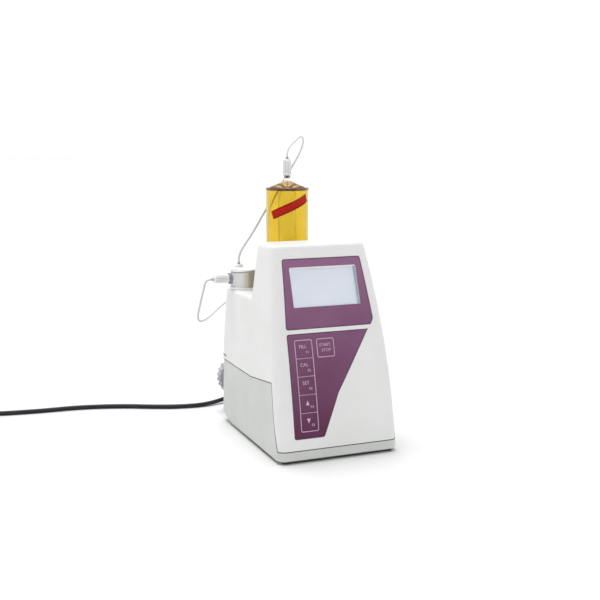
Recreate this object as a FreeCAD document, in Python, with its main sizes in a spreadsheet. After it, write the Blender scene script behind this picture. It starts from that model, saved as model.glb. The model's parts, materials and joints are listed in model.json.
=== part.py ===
import FreeCAD, Part
import math
import os
import Sketcher
from FreeCAD import Placement, Rotation, Vector

# A bench piston burette. X runs to the right, Y to the rear and Z up, in millimetres. The origin lies on
# the table under the middle of the housing. Sub-parts are drawn with Y counted from the front edge and
# are moved forward by half of the housing's depth when they are finished.

SIZES = [
    # housing
    ("body_width", 135.0, "width of the housing at its foot"),
    ("body_depth", 192.0, "depth of the upper housing"),
    ("rear_step", 3.0, "how far the upper housing's rear stands behind the tub's"),
    ("wall", 2.6, "wall of both housing shells"),
    ("seam_height", 13.0, "height of the front lip of the tub"),
    ("lip_round", 1.6, "lower edge of the tub"),
    ("front_tilt", 8.1, "lean of the front at the seam, in degrees"),
    ("front_radius", 832.0, "radius of the convex front"),
    ("side_radius", 1711.0, "radius of the convex sides, upright at the tub's foot"),
    ("tower_top", 217.0, "top of the display tower"),
    ("tower_draft", 4.0, "lean of the tower's rear"),
    ("tower_room", 45.5, "from the tower's rear to the cylinder's axis"),
    ("deck_height", 157.0, "height of the rear deck"),
    ("corner_round", 9.5, "upright corners of the housing"),
    ("tower_round", 6.0, "upright rear corners of the tower"),
    ("top_round", 5.5, "edges round the top"),
    ("deck_round", 4.0, "edges round the deck"),
    ("foot_height", 3.0, "height of the rubber feet"),
    ("foot_radius", 8.0, "radius of a rubber foot"),
    ("foot_inset_x", 18.0, "from the housing's side to a foot's middle"),
    ("foot_front_depth", 20.0, "front feet, from the front"),
    ("foot_bevel_gap", 13.0, "from the rear feet to the rear bevel"),
    ("bevel_end", 14.0, "height where the rear bevel of the tub ends"),
    ("bevel_mid_height", 5.5, "height at the bevel's middle corner"),
    ("bevel_rear_length", 25.0, "from the bevel's middle corner to the tub's rear"),
    ("bevel_length", 48.0, "length of the rear bevel"),
    ("seam_gap", 0.3, "shadow gap between the shells"),
    ("overrun", 5.0, "how far cutting bodies reach past what they cut"),
    # parting line on the sides
    ("part_low_depth", 5.6, "foot of the parting line"),
    ("part_mid_depth", 15.6, "middle of its steep run, depth"),
    ("part_mid_height", 43.0, "middle of its steep run, height"),
    ("part_peak_depth", 24.7, "peak of the parting line, depth"),
    ("part_peak_height", 80.1, "peak of the parting line, height"),
    ("part_fall_depth", 88.0, "end of its falling run"),
    ("part_level", 73.0, "height of the level run"),
    # side slot
    ("slot_length", 11.0, "side slot near the rear"),
    ("slot_height", 1.8, "height of the side slot"),
    ("slot_depth", 1.4, "depth of the side slot"),
    ("slot_margin", 5.0, "from the slot to the rear of the tub"),
    ("slot_rise", 4.2, "from the parting line to the slot"),
    # panel, with heights counted along the curved front from the seam
    ("foil_thickness", 0.5, "thickness of both foils"),
    ("foil_set", 0.1, "how far the foils lie below the housing's face"),
    ("foil_air", 0.05, "air behind and around the foils"),
    ("display_left_top", 23.0, "display foil, top left corner from the housing's side"),
    ("display_right_top", 23.5, "display foil, top right corner from the housing's side"),
    ("display_left_foot", 18.3, "display foil, bottom left corner from the housing's side"),
    ("display_right_bulge", 17.5, "display foil, right corner from the housing's side"),
    ("display_right_foot", 20.9, "display foil, bottom right corner from the housing's side"),
    ("panel_margin", 19.8, "from the display foil up to the tower's top"),
    ("panel_bulge_rise", 6.4, "height of the cut corner of the display foil"),
    ("display_height", 74.1, "height of the display foil"),
    ("panel_gap", 4.3, "white gap between the two foils"),
    ("keypad_right_top", 24.9, "keypad foil, top right corner from the housing's side"),
    ("keypad_left_foot", 18.0, "keypad foil, bottom left corner from the housing's side"),
    ("pad_right_foot", -16.4, "keypad foil, bottom right corner"),
    ("pad_waist", 2.4, "keypad foil, middle of the slanted edge"),
    ("pad_waist_rise", 43.5, "height of that point above the foot of the foil"),
    ("pad_foot", 11.6, "keypad foil, bottom edge"),
    ("foil_round", 2.5, "corners of the foils"),
    ("window_sides", 59.4, "housing beside the display window, both sides"),
    ("window_height", 41.6, "display window, height"),
    ("window_drop", 51.5, "from the display foil's top to the window's lower edge"),
    ("window_lap", 2.6, "how far the glass reaches behind the wall"),
    ("glass_thickness", 1.2, "display glass"),
    ("module_thickness", 7.0, "display module behind the glass"),
    ("module_lap", 7.0, "how far the module's board reaches past the glass"),
    # keys
    ("key_rows_room", 7.5, "from the foot of the keypad foil to the lowest key"),
    ("key_rib", 0.5, "rib between two keys"),
    ("key_air", 0.15, "air round a key"),
    ("key_thickness", 1.0, "cap of a key"),
    ("key_travel", 0.5, "travel of a key"),
    ("key_drop", 11.0, "from the display foil to the highest keys"),
    ("column_side", 35.6, "middle of the key column from the housing's side"),
    ("start_gap", 5.7, "between the key column and the start key"),
    ("key_round", 1.0, "corners of a key"),
    ("stem_radius", 2.4, "stem under a key"),
    ("stem_air", 0.2, "air round a stem"),
    ("board_thickness", 1.6, "all circuit boards"),
    ("board_air", 0.3, "least air between a board and what it lies on"),
    ("keypad_margin", 5.0, "how far the keypad board reaches past the keys"),
    # piston cylinder unit
    ("cylinder_rear", 44.5, "from the axis of the cylinder to the housing's rear"),
    ("jacket_radius", 23.7, "amber jacket"),
    ("jacket_wall", 2.0, "wall of the jacket"),
    ("jacket_height", 111.6, "top of the jacket above the deck"),
    ("base_height", 4.0, "collar that the jacket stands in"),
    ("base_lip", 1.4, "wall of the collar's seat"),
    ("ring_height", 2.9, "shoulder ring of the head"),
    ("ring_over", 0.5, "how far the ring stands out"),
    ("cone_height", 7.4, "cone of the head"),
    ("neck_radius", 3.2, "neck of the head"),
    ("neck_height", 9.4, "clear and threaded neck"),
    ("neck_seen", 6.0, "part of the neck below the nut"),
    ("neck_thread", 6.6, "threaded end of the neck"),
    ("thread_ridge", 0.35, "how far the threaded end stands out"),
    ("bore_radius", 8.9, "bore of the glass cylinder"),
    ("glass_wall", 1.4, "wall of the glass cylinder"),
    ("seat_depth", 1.5, "how deep glass and jacket sit"),
    ("fit", 0.05, "running clearance"),
    ("piston_height", 9.0, "height of the piston"),
    ("piston_groove", 0.9, "depth of the sealing grooves"),
    ("stroke", 80.0, "travel of the piston"),
    ("screw_radius", 4.0, "lead screw"),
    ("screw_foot", 14.0, "lower end of the lead screw"),
    ("guide_pin_radius", 1.5, "pin that keeps the screw from turning"),
    ("guide_pin_rise", 3.0, "from the screw's end to the pin"),
    # drive
    ("platform_drop", 57.0, "from the deck down to the drive platform"),
    ("platform_thickness", 4.0, "platform"),
    ("bearing_height", 5.0, "thrust bearing"),
    ("bearing_radius", 13.0, "thrust bearing, outside"),
    ("gear_module", 1.4, "module of the gear pair"),
    ("gear_height", 7.0, "width of the nut gear"),
    ("hub_height", 12.0, "hub of the nut gear"),
    ("hub_radius", 9.0, "hub of the nut gear"),
    ("motor_side", 42.0, "piston motor, side"),
    ("motor_height", 40.0, "piston motor, height"),
    ("shaft_radius", 2.5, "motor shaft"),
    ("shaft_depth", 15.0, "how deep the shaft runs into the motor"),
    ("frame_plate", 2.5, "side plates of the drive frame"),
    ("frame_ahead", 69.5, "side plates of the drive frame, ahead of the cylinder's axis"),
    ("frame_behind", 17.5, "side plates of the drive frame, behind the cylinder's axis"),
    ("frame_flange", 9.0, "width of the foot flanges"),
    ("frame_window", 34.0, "height of the window in a side plate"),
    ("frame_heel_gap", 3.0, "from where the plates rise off the floor to the bevel"),
    ("frame_heel_height", 11.0, "height of the plates behind that"),
    # valve
    ("valve_x", -40.4, "axis of the valve"),
    ("valve_behind", 21.5, "axis of the valve, behind the cylinder's axis"),
    ("drum_radius", 19.3, "valve drum"),
    ("drum_wall", 2.3, "wall of the drum"),
    ("drum_height", 23.7, "top of the drum above the deck"),
    ("seat_ring_radius", 21.0, "seat ring of the drum"),
    ("seat_ring_height", 2.6, "seat ring of the drum"),
    ("port_rise", 11.6, "height of the side ports above the deck"),
    ("port_turn", 40.0, "rear port, turned to the right, in degrees"),
    ("port_boss_radius", 6.4, "boss of a side port"),
    ("port_boss_length", 3.6, "how far a boss stands out of the drum"),
    ("port_neck_radius", 2.6, "neck of a port"),
    ("port_neck_length", 4.0, "how far a neck reaches into its nut"),
    ("top_port_x", -8.1, "top port, to the left of the valve's axis"),
    ("top_port_y", 7.5, "top port, behind the valve's axis"),
    ("top_nut_rise", 2.9, "how far the top nut stands above the drum"),
    ("plug_radius", 4.4, "turning plug of the valve"),
    ("plug_way", 1.2, "flow way through the plug"),
    ("valve_motor_side", 28.0, "valve motor, side"),
    ("valve_motor_height", 29.0, "valve motor, height"),
    # hose nuts
    ("nut_radius", 4.9, "ribbed hose nut"),
    ("nut_length", 18.0, "ribbed hose nut"),
    ("nut_groove", 0.8, "radius of the grooves between its ribs"),
    ("nut_collar", 2.2, "plain collar of the nut"),
    ("ferrule_radius", 2.3, "ferrule where the hose leaves the nut"),
    ("ferrule_length", 2.8, "ferrule"),
    ("hose_radius", 1.1, "hose"),
    ("hose_reach", 20.0, "scale of the hoses' bows"),
    # stand rod clamp
    ("clamp_side", 30.0, "middle of the clamp from the housing's side"),
    ("clamp_height", 41.0, "height of the clamp's screw"),
    ("clamp_width", 28.0, "width of the block"),
    ("clamp_tall", 30.0, "height of the block"),
    ("clamp_front_wall", 4.4, "block wall before the rod's bore"),
    ("rod_radius", 5.05, "bore for a 10 mm stand rod"),
    ("clamp_rear_wall", 6.5, "block wall behind the rod's bore"),
    ("pad_radius", 3.4, "clamp pad"),
    ("pad_thickness", 1.9, "clamp pad"),
    ("clamp_screw_radius", 3.0, "clamp screw"),
    ("clamp_travel", 4.0, "travel of the clamp pad"),
    ("knob_radius", 23.5, "clamp knob"),
    ("knob_thickness", 12.0, "clamp knob"),
    ("knob_hub_radius", 8.0, "hub of the knob"),
    ("knob_hub_length", 1.2, "hub of the knob"),
    ("knob_scallop", 2.7, "radius of the scallops in its rim"),
    # rear panel
    ("rear_panel_side", 11.5, "from the rear panel to the housing's side"),
    ("rear_panel_room", 63.0, "housing beside the rear panel, both sides"),
    ("rear_panel_height", 46.0, "rear panel"),
    ("rear_panel_foot", 17.5, "lower edge of the rear panel"),
    ("rear_frame", 3.0, "rim of the wall round the panel"),
    ("relief_side", 13.0, "strain relief from the rear panel's edge"),
    ("relief_height", 28.5, "height of the strain relief"),
    ("relief_length", 26.0, "sleeve behind the panel"),
    ("relief_radius", 5.2, "sleeve at its root"),
    ("relief_tip", 3.7, "sleeve at its tip"),
    ("relief_flange", 7.5, "flange of the strain relief"),
    ("switch_offset", 27.0, "power switch from the strain relief"),
    ("switch_height", 29.5, "height of the power switch"),
    ("switch_width", 21.0, "frame of the switch"),
    ("switch_tall", 15.0, "frame of the switch"),
    ("switch_rim", 2.0, "rim of the switch's frame"),
    ("switch_proud", 2.0, "how far the rim stands off the panel"),
    ("rocker_tilt", 12.0, "rocker, in degrees"),
    ("socket_offset", 6.0, "first serial socket from the strain relief"),
    ("socket_spacing", 33.5, "from one serial socket to the next"),
    ("socket_height", 52.0, "height of the sockets"),
    ("socket_width", 30.8, "flange of a serial socket"),
    ("socket_tall", 12.5, "flange of a serial socket"),
    ("shell_width", 16.9, "shell of a serial socket"),
    ("shell_tall", 8.3, "shell of a serial socket"),
    ("shell_length", 5.5, "shell of a serial socket"),
    # boards
    ("main_side", 19.5, "main board from the housing's side"),
    ("main_bevel_gap", 1.0, "from the main board to the rear bevel"),
    ("main_length", 74.0, "main board"),
    ("main_height", 58.0, "main board"),
    ("supply_side", 21.5, "middle of the power supply from the housing's side"),
    ("supply_boss_gap", 8.0, "from the front bosses' axis to the power supply"),
    ("supply_width", 26.0, "power supply"),
    ("supply_rear_gap", 6.0, "from the power supply to the rear bosses' axis"),
    ("supply_stand", 4.0, "stand-offs of the power supply"),
    ("transformer_length", 28.0, "transformer"),
    ("transformer_height", 28.0, "transformer"),
    # screws
    ("screw_head_radius", 3.0, "head of a housing screw"),
    ("screw_head_height", 1.8, "head of a housing screw"),
    ("shank_radius", 1.5, "shank of a housing screw"),
    ("shank_length", 12.0, "shank of a housing screw"),
    ("boss_radius", 4.0, "screw boss in the tub"),
    ("boss_height", 16.0, "screw boss in the tub"),
    ("boss_side", 12.0, "from the housing's side to a boss"),
    ("boss_front", 34.0, "front bosses, from the front"),
    ("boss_bevel_gap", 23.0, "from the rear bosses to the rear bevel"),
    # mains lead
    ("cord_radius", 2.6, "mains lead"),
    ("cord_lift", 0.1, "air under the lead"),
    ("coil_x", -380.0, "middle of the put-away coil"),
    ("coil_behind", 53.0, "middle of the put-away coil, behind the strain relief's end"),
    ("coil_outer", 37.9, "radius of the outermost turn"),
    ("coil_step", 6.0, "from one turn to the next"),
    ("coil_layer", 5.7, "from one layer to the next"),
    ("tail_length", 32.0, "lead between the coil and the plug"),
    ("mains_width", 35.0, "mains plug, width at its face"),
    ("mains_height", 13.7, "mains plug, height at its face"),
    ("mains_length", 36.0, "mains plug, length"),
    ("mains_root_width", 13.0, "mains plug, width at the lead"),
    ("mains_root_height", 16.8, "mains plug, height at the lead"),
    ("pin_radius", 2.0, "pins of the plug"),
    ("pin_length", 19.0, "pins of the plug"),
    ("pin_spacing", 18.6, "between the pins"),
]

# Sizes that follow from others
DERIVED = [
    ("tub_depth", "body_depth - rear_step", "depth of the lower tub"),
    ("bevel_start", "tub_depth - bevel_length", "depth where the rear bevel begins"),
    ("bevel_mid_depth", "tub_depth - bevel_rear_length", "depth of the bevel's middle corner"),
    ("foot_rear_depth", "bevel_start - foot_bevel_gap", "rear feet, from the front"),
    ("boss_rear", "bevel_start - boss_bevel_gap", "rear bosses, from the front"),
    ("cylinder_depth", "body_depth - cylinder_rear", "axis of the cylinder, from the front"),
    ("tower_rear_foot", "cylinder_depth - tower_room", "rear of the tower at the deck"),
    ("tower_rear_top", "tower_rear_foot - tower_draft", "rear of the tower at its top"),
    ("frame_front", "cylinder_depth - frame_ahead", "front of the side plates"),
    ("frame_rear", "cylinder_depth + frame_behind", "rear of the side plates"),
    ("frame_heel", "bevel_start - frame_heel_gap", "where the plates rise off the floor"),
    ("valve_depth", "cylinder_depth + valve_behind", "axis of the valve, from the front"),
    ("main_front", "bevel_start - main_bevel_gap - main_length", "front edge of the main board"),
    ("supply_front", "boss_front + supply_boss_gap", "front edge of the power supply"),
    ("supply_length", "boss_rear - supply_rear_gap - supply_front", "power supply"),
    ("jacket_top", "deck_height + jacket_height", "top of the jacket"),
    ("platform_height", "deck_height - platform_drop", "underside of the drive platform"),
    ("drum_top", "deck_height + drum_height", "top of the drum"),
    ("port_height", "deck_height + port_rise", "height of the side ports"),
    ("panel_top", "tower_top - panel_margin", "display foil, top edge"),
    ("panel_foot", "panel_top - display_height", "display foil, bottom edge"),
    ("window_foot", "panel_top - window_drop", "display window, lower edge"),
    ("key_top", "panel_foot - key_drop", "upper edge of the highest keys"),
    ("key_pitch", "(key_top - pad_foot - key_rows_room) / 5", "pitch of the five keys"),
    ("panel_left_top", "body_width / 2 - display_left_top", "display foil, top left corner"),
    ("panel_right_top", "body_width / 2 - display_right_top", "display foil, top right corner"),
    ("panel_left_foot", "body_width / 2 - display_left_foot", "display foil, bottom left corner"),
    ("panel_right_bulge", "body_width / 2 - display_right_bulge", "display foil, right corner"),
    ("panel_right_foot", "body_width / 2 - display_right_foot", "display foil, bottom right corner"),
    ("pad_right_top", "body_width / 2 - keypad_right_top", "keypad foil, top right corner"),
    ("pad_left_foot", "body_width / 2 - keypad_left_foot", "keypad foil, bottom left corner"),
    ("window_width", "body_width - window_sides", "display window, width"),
    ("column_middle", "column_side - body_width / 2", "middle of the key column"),
    ("start_middle", "column_middle + key_pitch + start_gap", "middle of the start key"),
    ("clamp_x", "clamp_side - body_width / 2", "middle of the clamp"),
    ("rear_panel_width", "body_width - rear_panel_room", "rear panel"),
    ("panel_x", "(body_width - rear_panel_width) / 2 - rear_panel_side", "middle of the rear panel"),
    ("relief_x", "panel_x - rear_panel_width / 2 + relief_side", "strain relief"),
    ("switch_x", "relief_x + switch_offset", "power switch"),
    ("socket_x", "relief_x + socket_offset", "first serial socket"),
    ("main_x", "body_width / 2 - main_side", "main board"),
    ("supply_x", "supply_side - body_width / 2", "middle of the power supply"),
]

KEY_COUNT = 5
GEAR_TEETH = 45
PINION_TEETH = 15
NUT_RIBS = 16
KNOB_LOBES = 22
RELIEF_RINGS = 5
COIL_HALF_TURNS = 5
STEEP_SHARE = 0.7
LEVEL_SHARE = 0.3

# Routes. A hose's point is a share of the way between its two ends and a step off it, as shares of the
# hoses' reach. A lead's point is a share of its whole way in X, in depth and in height.
HEAD_HOSE_SHARES = [
    (0, 0, 0, 0.35),
    (0, 0.425, 0.09, 0.785),
    (0, 1.025, 0.425, 1.16),
    (0, 1.475, 1.05, 0.91),
    (0, 1.35, 1.45, 0.11),
    (0.25, 1.206, 1.188, 0.403),
    (0.5, 0.613, 0.85, 0.12),
    (0.75, 0.294, 0.438, 0.138),
    (1, 0.3, 0.025, 0.855),
    (1, 0, 0, 0.355),
]
LOOP_HOSE_SHARES = [
    (0, -0.25, 0, 0),
    (0, -0.385, 0.005, -0.29),
    (0, -0.55, 0.08, -1.08),
    (0, -0.765, 0.275, -2.205),
    (0.1, -0.775, 0.607, -2.555),
    (0.2, -0.36, 1.089, -2.355),
    (0.4, -0.229, 1.329, -2.055),
    (0.6, -0.049, 1.393, -1.88),
    (0.8, 0.332, 1.283, -1.53),
    (1, 0.412, 0.897, -0.98),
    (1, 0.612, 0.697, -0.43),
    (1, 0.289, 0.345, 0),
]
LEAD_SHARES = [
    (0, 0.198, 0),
    (0.0212, 0.429, 0.3876),
    (0.0849, 0.5666, 0.8876),
    (0.183, 0.451, 1),
    (0.2679, 0.407, 1),
    (0.3475, 0.484, 1),
    (0.4377, 0.6766, 1),
    (0.5676, 0.8251, 1),
    (0.687, 0.8306, 1),
    (0.8117, 0.9043, 1),
    (0.9072, 1, 1),
]


class Size:
    """A length with its value and the expression that gives it in the document."""

    def __init__(self, value, text):
        self.value = value
        self.text = text

    def __add__(self, other):
        other = as_size(other)
        return Size(self.value + other.value, f"({self.text} + {other.text})")

    def __radd__(self, other):
        return as_size(other) + self

    def __sub__(self, other):
        other = as_size(other)
        return Size(self.value - other.value, f"({self.text} - {other.text})")

    def __rsub__(self, other):
        return as_size(other) - self

    def __mul__(self, other):
        other = as_size(other)
        return Size(self.value * other.value, f"({self.text} * {other.text})")

    def __rmul__(self, other):
        return as_size(other) * self

    def __truediv__(self, other):
        other = as_size(other)
        return Size(self.value / other.value, f"({self.text} / {other.text})")

    def __neg__(self):
        return Size(-self.value, f"(0 - {self.text})")


def as_size(number):
    return number if isinstance(number, Size) else Size(float(number), str(number))


def root(size):
    return Size(math.sqrt(size.value), f"sqrt({size.text})")


def sine(degrees):
    return Size(math.sin(math.radians(degrees.value)), f"sin({degrees.text})")


def cosine(degrees):
    return Size(math.cos(math.radians(degrees.value)), f"cos({degrees.text})")


class Sizes:
    """The spreadsheet's cells as named sizes."""


doc = FreeCAD.newDocument("burette")
sheet = doc.addObject("Spreadsheet::Sheet", "sizes")
S = Sizes()
for row, (alias, number, note) in enumerate(SIZES, start=1):
    sheet.set(f"A{row}", alias)
    sheet.set(f"B{row}", str(number))
    sheet.setAlias(f"B{row}", alias)
    sheet.set(f"C{row}", note)
    setattr(S, alias, Size(number, f"sizes.{alias}"))
for row, (alias, formula, note) in enumerate(DERIVED, start=len(SIZES) + 1):
    sheet.set(f"A{row}", alias)
    sheet.set(f"B{row}", "=" + formula)
    sheet.setAlias(f"B{row}", alias)
    sheet.set(f"C{row}", note)
doc.recompute()
for alias, formula, note in DERIVED:
    setattr(S, alias, Size(float(sheet.get(alias)), f"sizes.{alias}"))

ZERO = Size(0.0, "0")
DEGREES = Size(math.degrees(1.0), "(180 / pi)")
HALF_WIDTH = S.body_width / 2
PIECES = []
PLACES = {}

ALONG = {"X": Rotation(Vector(0, 1, 0), 90), "Y": Rotation(Vector(1, 0, 0), -90), "Z": Rotation()}
ALONG["rear port"] = Rotation(Vector(0, 0, 1), -S.port_turn.value) * ALONG["Y"]


# Document helpers

def bind(item, prop, size):
    item.setExpression(prop, as_size(size).text)


def move(item, x=ZERO, y=ZERO, z=ZERO, rotation=None):
    if rotation is not None:
        item.Placement = Placement(Vector(), rotation)
    PLACES[item.Name] = (as_size(x), as_size(y), as_size(z))
    bind(item, "Placement.Base.x", x)
    bind(item, "Placement.Base.y", y)
    bind(item, "Placement.Base.z", z)
    return item


def own_origin():
    """The middle of the footprint in the front frame: the lip to the knob, the left ferrule to the side."""
    left = S.valve_x - S.drum_radius - S.port_boss_length - 2 * S.fit - S.nut_length - S.ferrule_length
    lip_bow = (S.seam_height - S.foot_height) / sine(S.front_tilt)
    front = lip_bow * cosine(S.front_tilt) - lip_bow
    rear = clamp_rear() + S.clamp_travel + S.board_air + S.knob_hub_length + S.knob_thickness
    return (left + HALF_WIDTH) / 2, (front + rear) / 2


def piece(item, label):
    """Finish a sub-part: name it and move it from the front frame to the part's own frame."""
    x, y, z = PLACES.get(item.Name, (ZERO, ZERO, ZERO))
    origin_x, origin_y = own_origin()
    move(item, x - origin_x, y - origin_y, z)
    item.Label = label
    PIECES.append(item)
    return item


def box(name, sizes, place=(ZERO, ZERO, ZERO), rotation=None):
    item = doc.addObject("Part::Box", name)
    for prop, size in zip(("Length", "Width", "Height"), sizes):
        bind(item, prop, size)
    return move(item, *place, rotation=rotation)


def rod(name, radius, length, place=(ZERO, ZERO, ZERO), axis="Z"):
    item = doc.addObject("Part::Cylinder", name)
    bind(item, "Radius", radius)
    bind(item, "Height", length)
    return move(item, *place, rotation=ALONG[axis])


def cone(name, radius, end_radius, length, place=(ZERO, ZERO, ZERO), axis="Z"):
    item = doc.addObject("Part::Cone", name)
    bind(item, "Radius1", radius)
    bind(item, "Radius2", end_radius)
    bind(item, "Height", length)
    return move(item, *place, rotation=ALONG[axis])


def join(name, items):
    item = doc.addObject("Part::MultiFuse", name)
    item.Shapes = items
    return item


def overlap(name, items):
    item = doc.addObject("Part::MultiCommon", name)
    item.Shapes = items
    return item


def group(name, items):
    item = doc.addObject("Part::Compound", name)
    item.Links = items
    return item


def cut(name, base, tools):
    item = doc.addObject("Part::Cut", name)
    item.Base = base
    item.Tool = tools[0] if len(tools) == 1 else join(name + "_tools", tools)
    return item


def fillet(name, base, radius, chosen):
    """Round the edges of base for which chosen(edge) holds."""
    doc.recompute()
    item = doc.addObject("Part::Fillet", name)
    item.Base = base
    edges = [i for i, edge in enumerate(base.Shape.Edges, start=1) if chosen(edge)]
    item.Edges = [(i, radius.value, radius.value) for i in edges]
    return item


def new_body(name):
    return doc.addObject("PartDesign::Body", name)


def new_sketch(body, name, role):
    sketch = body.newObject("Sketcher::SketchObject", name)
    plane = [item for item in body.Origin.OriginFeatures if item.Role == role][0]
    sketch.AttachmentSupport = [(plane, "")]
    sketch.MapMode = "FlatFace"
    return sketch


def fix(sketch, geometry, point, x, y):
    for kind, size in (("DistanceX", as_size(x)), ("DistanceY", as_size(y))):
        index = sketch.addConstraint(Sketcher.Constraint(kind, -1, 1, geometry, point, size.value))
        sketch.setExpression(f"Constraints[{index}]", size.text)


def outline(sketch, corners):
    """A closed outline. A corner is (x, y) or (x, y, radius, side), where the edge that leaves it is an
    arc with its centre on the left (side 1) or the right (side -1) of the way."""
    count = len(corners)
    first = sketch.GeometryCount
    flips = []
    for i, corner in enumerate(corners):
        start = Vector(as_size(corner[0]).value, as_size(corner[1]).value, 0)
        after = corners[(i + 1) % count]
        end = Vector(as_size(after[0]).value, as_size(after[1]).value, 0)
        if len(corner) == 2:
            sketch.addGeometry(Part.LineSegment(start, end))
            flips.append(False)
            continue
        radius, side = corner[2].value, corner[3]
        chord = end - start
        rise = math.sqrt(max(radius ** 2 - (chord.Length / 2) ** 2, 0))
        normal = Vector(-chord.y, chord.x, 0).normalize() * side
        centre = (start + end) * 0.5 + normal * rise
        low, high = (start, end) if side > 0 else (end, start)
        angles = [math.atan2(p.y - centre.y, p.x - centre.x) for p in (low, high)]
        circle = Part.Circle(centre, Vector(0, 0, 1), radius)
        sketch.addGeometry(Part.ArcOfCircle(circle, *angles))
        flips.append(side < 0)
    for i in range(count):
        after = (i + 1) % count
        end_point = 1 if flips[i] else 2
        start_point = 2 if flips[after] else 1
        sketch.addConstraint(
            Sketcher.Constraint("Coincident", first + i, end_point, first + after, start_point))
    for i, corner in enumerate(corners):
        fix(sketch, first + i, 2 if flips[i] else 1, corner[0], corner[1])
        if len(corner) == 4:
            index = sketch.addConstraint(Sketcher.Constraint("Radius", first + i, corner[2].value))
            sketch.setExpression(f"Constraints[{index}]", corner[2].text)


def circle_in(sketch, x, y, radius):
    index = sketch.addGeometry(
        Part.Circle(Vector(as_size(x).value, as_size(y).value, 0), Vector(0, 0, 1), radius.value))
    fix(sketch, index, 3, x, y)
    mark = sketch.addConstraint(Sketcher.Constraint("Radius", index, radius.value))
    sketch.setExpression(f"Constraints[{mark}]", radius.text)


def rounded(width, height, radius, x=ZERO, y=ZERO):
    """Corners of a rectangle with rounded corners about the point (x, y)."""
    left, right = x - width / 2, x + width / 2
    low, high = y - height / 2, y + height / 2
    return [
        (left + radius, low), (right - radius, low, radius, 1), (right, low + radius),
        (right, high - radius, radius, 1), (right - radius, high), (left + radius, high, radius, 1),
        (left, high - radius), (left, low + radius, radius, 1),
    ]


def pad(body, sketch, length, side="One side", back=False):
    item = body.newObject("PartDesign::Pad", sketch.Name + "_pad")
    item.Profile = sketch
    item.SideType = side
    item.Reversed = back
    bind(item, "Length", length)
    return item


def pocket(body, sketch, length, side="One side", back=False):
    item = body.newObject("PartDesign::Pocket", sketch.Name + "_pocket")
    item.Profile = sketch
    item.SideType = side
    item.Reversed = back
    bind(item, "Length", length)
    return item


def around(body, feature, sketch, count):
    item = body.newObject("PartDesign::PolarPattern", feature.Name + "_pattern")
    item.Originals = [feature]
    item.Axis = (sketch, ["N_Axis"])
    item.Angle = 360
    item.Occurrences = count
    body.Tip = item
    return item


def turned(name, corners):
    """A body turned about its own Z axis from corners given as (radius, height)."""
    body = new_body(name)
    sketch = new_sketch(body, name + "_section", "XZ_Plane")
    outline(sketch, corners)
    item = body.newObject("PartDesign::Revolution", name + "_turn")
    item.Profile = sketch
    item.ReferenceAxis = (sketch, ["V_Axis"])
    item.Angle = 360
    return body


# Places on the curved front: "along" is counted up the face from the seam

def face_tilt(along):
    return S.front_tilt + along / S.front_radius * DEGREES


def face_depth(along, inset=ZERO):
    tilt = face_tilt(along)
    return S.front_radius * (cosine(S.front_tilt) - cosine(tilt)) + inset * cosine(tilt)


def face_height(along, inset=ZERO):
    tilt = face_tilt(along)
    return S.seam_height + S.front_radius * (sine(tilt) - sine(S.front_tilt)) - inset * sine(tilt)


def front_at(height, inset=ZERO):
    """Depth of the curved front at a height, for the outside or for a face inset from it."""
    radius = S.front_radius - inset
    centre_y = S.front_radius * cosine(S.front_tilt)
    centre_z = S.seam_height - S.front_radius * sine(S.front_tilt)
    drop = height - centre_z
    return centre_y - root(radius * radius - drop * drop)


def side_at(height, inset=ZERO):
    """Half width of the housing at a height, for the outside or for a face inset from it."""
    radius = S.side_radius - inset
    rise = height - S.foot_height
    return HALF_WIDTH - S.side_radius + root(radius * radius - rise * rise)


def on_face(item, x, along, inset=ZERO):
    """Lay an item on the front with its own Z axis pointing out of the face."""
    turn = Rotation(Vector(1, 0, 0), 90 - face_tilt(along).value)
    return move(item, x, face_depth(along, inset), face_height(along, inset), rotation=turn)


# Housing shells

def middle_of(edge):
    """The middle point of an edge and its direction there."""
    at = (edge.FirstParameter + edge.LastParameter) / 2
    return edge.valueAt(at), edge.tangentAt(at)


def upright_between(low, high):
    """Picks the steep edges whose middle lies between two depths."""
    def chosen(edge):
        point, way = middle_of(edge)
        return abs(way.z) > STEEP_SHARE and abs(way.x) < LEVEL_SHARE and low.value < point.y < high.value
    return chosen


def level_at(height, low):
    """Picks the level edges at a height whose middle lies behind a depth."""
    def chosen(edge):
        point = middle_of(edge)[0]
        level = edge.BoundBox.ZLength < S.fit.value
        return level and abs(point.z - height.value) < S.fit.value and point.y > low.value
    return chosen


def front_view(name, inset):
    """The housing seen from the front, pushed through its whole depth."""
    floor = S.foot_height + inset
    top = S.tower_top - inset
    half = side_at(floor, inset)
    half_top = side_at(top, inset)
    bow = S.side_radius - inset
    body = new_body(name)
    sketch = new_sketch(body, name + "_outline", "XZ_Plane")
    outline(sketch, [
        (-half, floor), (half, floor, bow, 1), (half_top, top), (-half_top, top, bow, 1),
    ])
    pad(body, sketch, S.body_depth + S.overrun, back=True)
    return move(body, y=-S.overrun / 2)


def side_block(name, side, seen_from_front):
    """A side view of the housing, kept where it meets the front view."""
    body = new_body(name + "_side_view")
    sketch = new_sketch(body, name + "_outline", "YZ_Plane")
    outline(sketch, side)
    pad(body, sketch, S.body_width + S.overrun, "Symmetric")
    return overlap(name, [body, seen_from_front])


def rear_corners(inset, rear):
    """The underside and the rear of the housing up to the rear's top, as a side view."""
    floor = S.foot_height + inset
    return [
        (S.bevel_start, floor),
        (S.bevel_mid_depth - inset, S.bevel_mid_height + inset),
        (rear - inset, S.bevel_end + inset),
    ]


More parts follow.
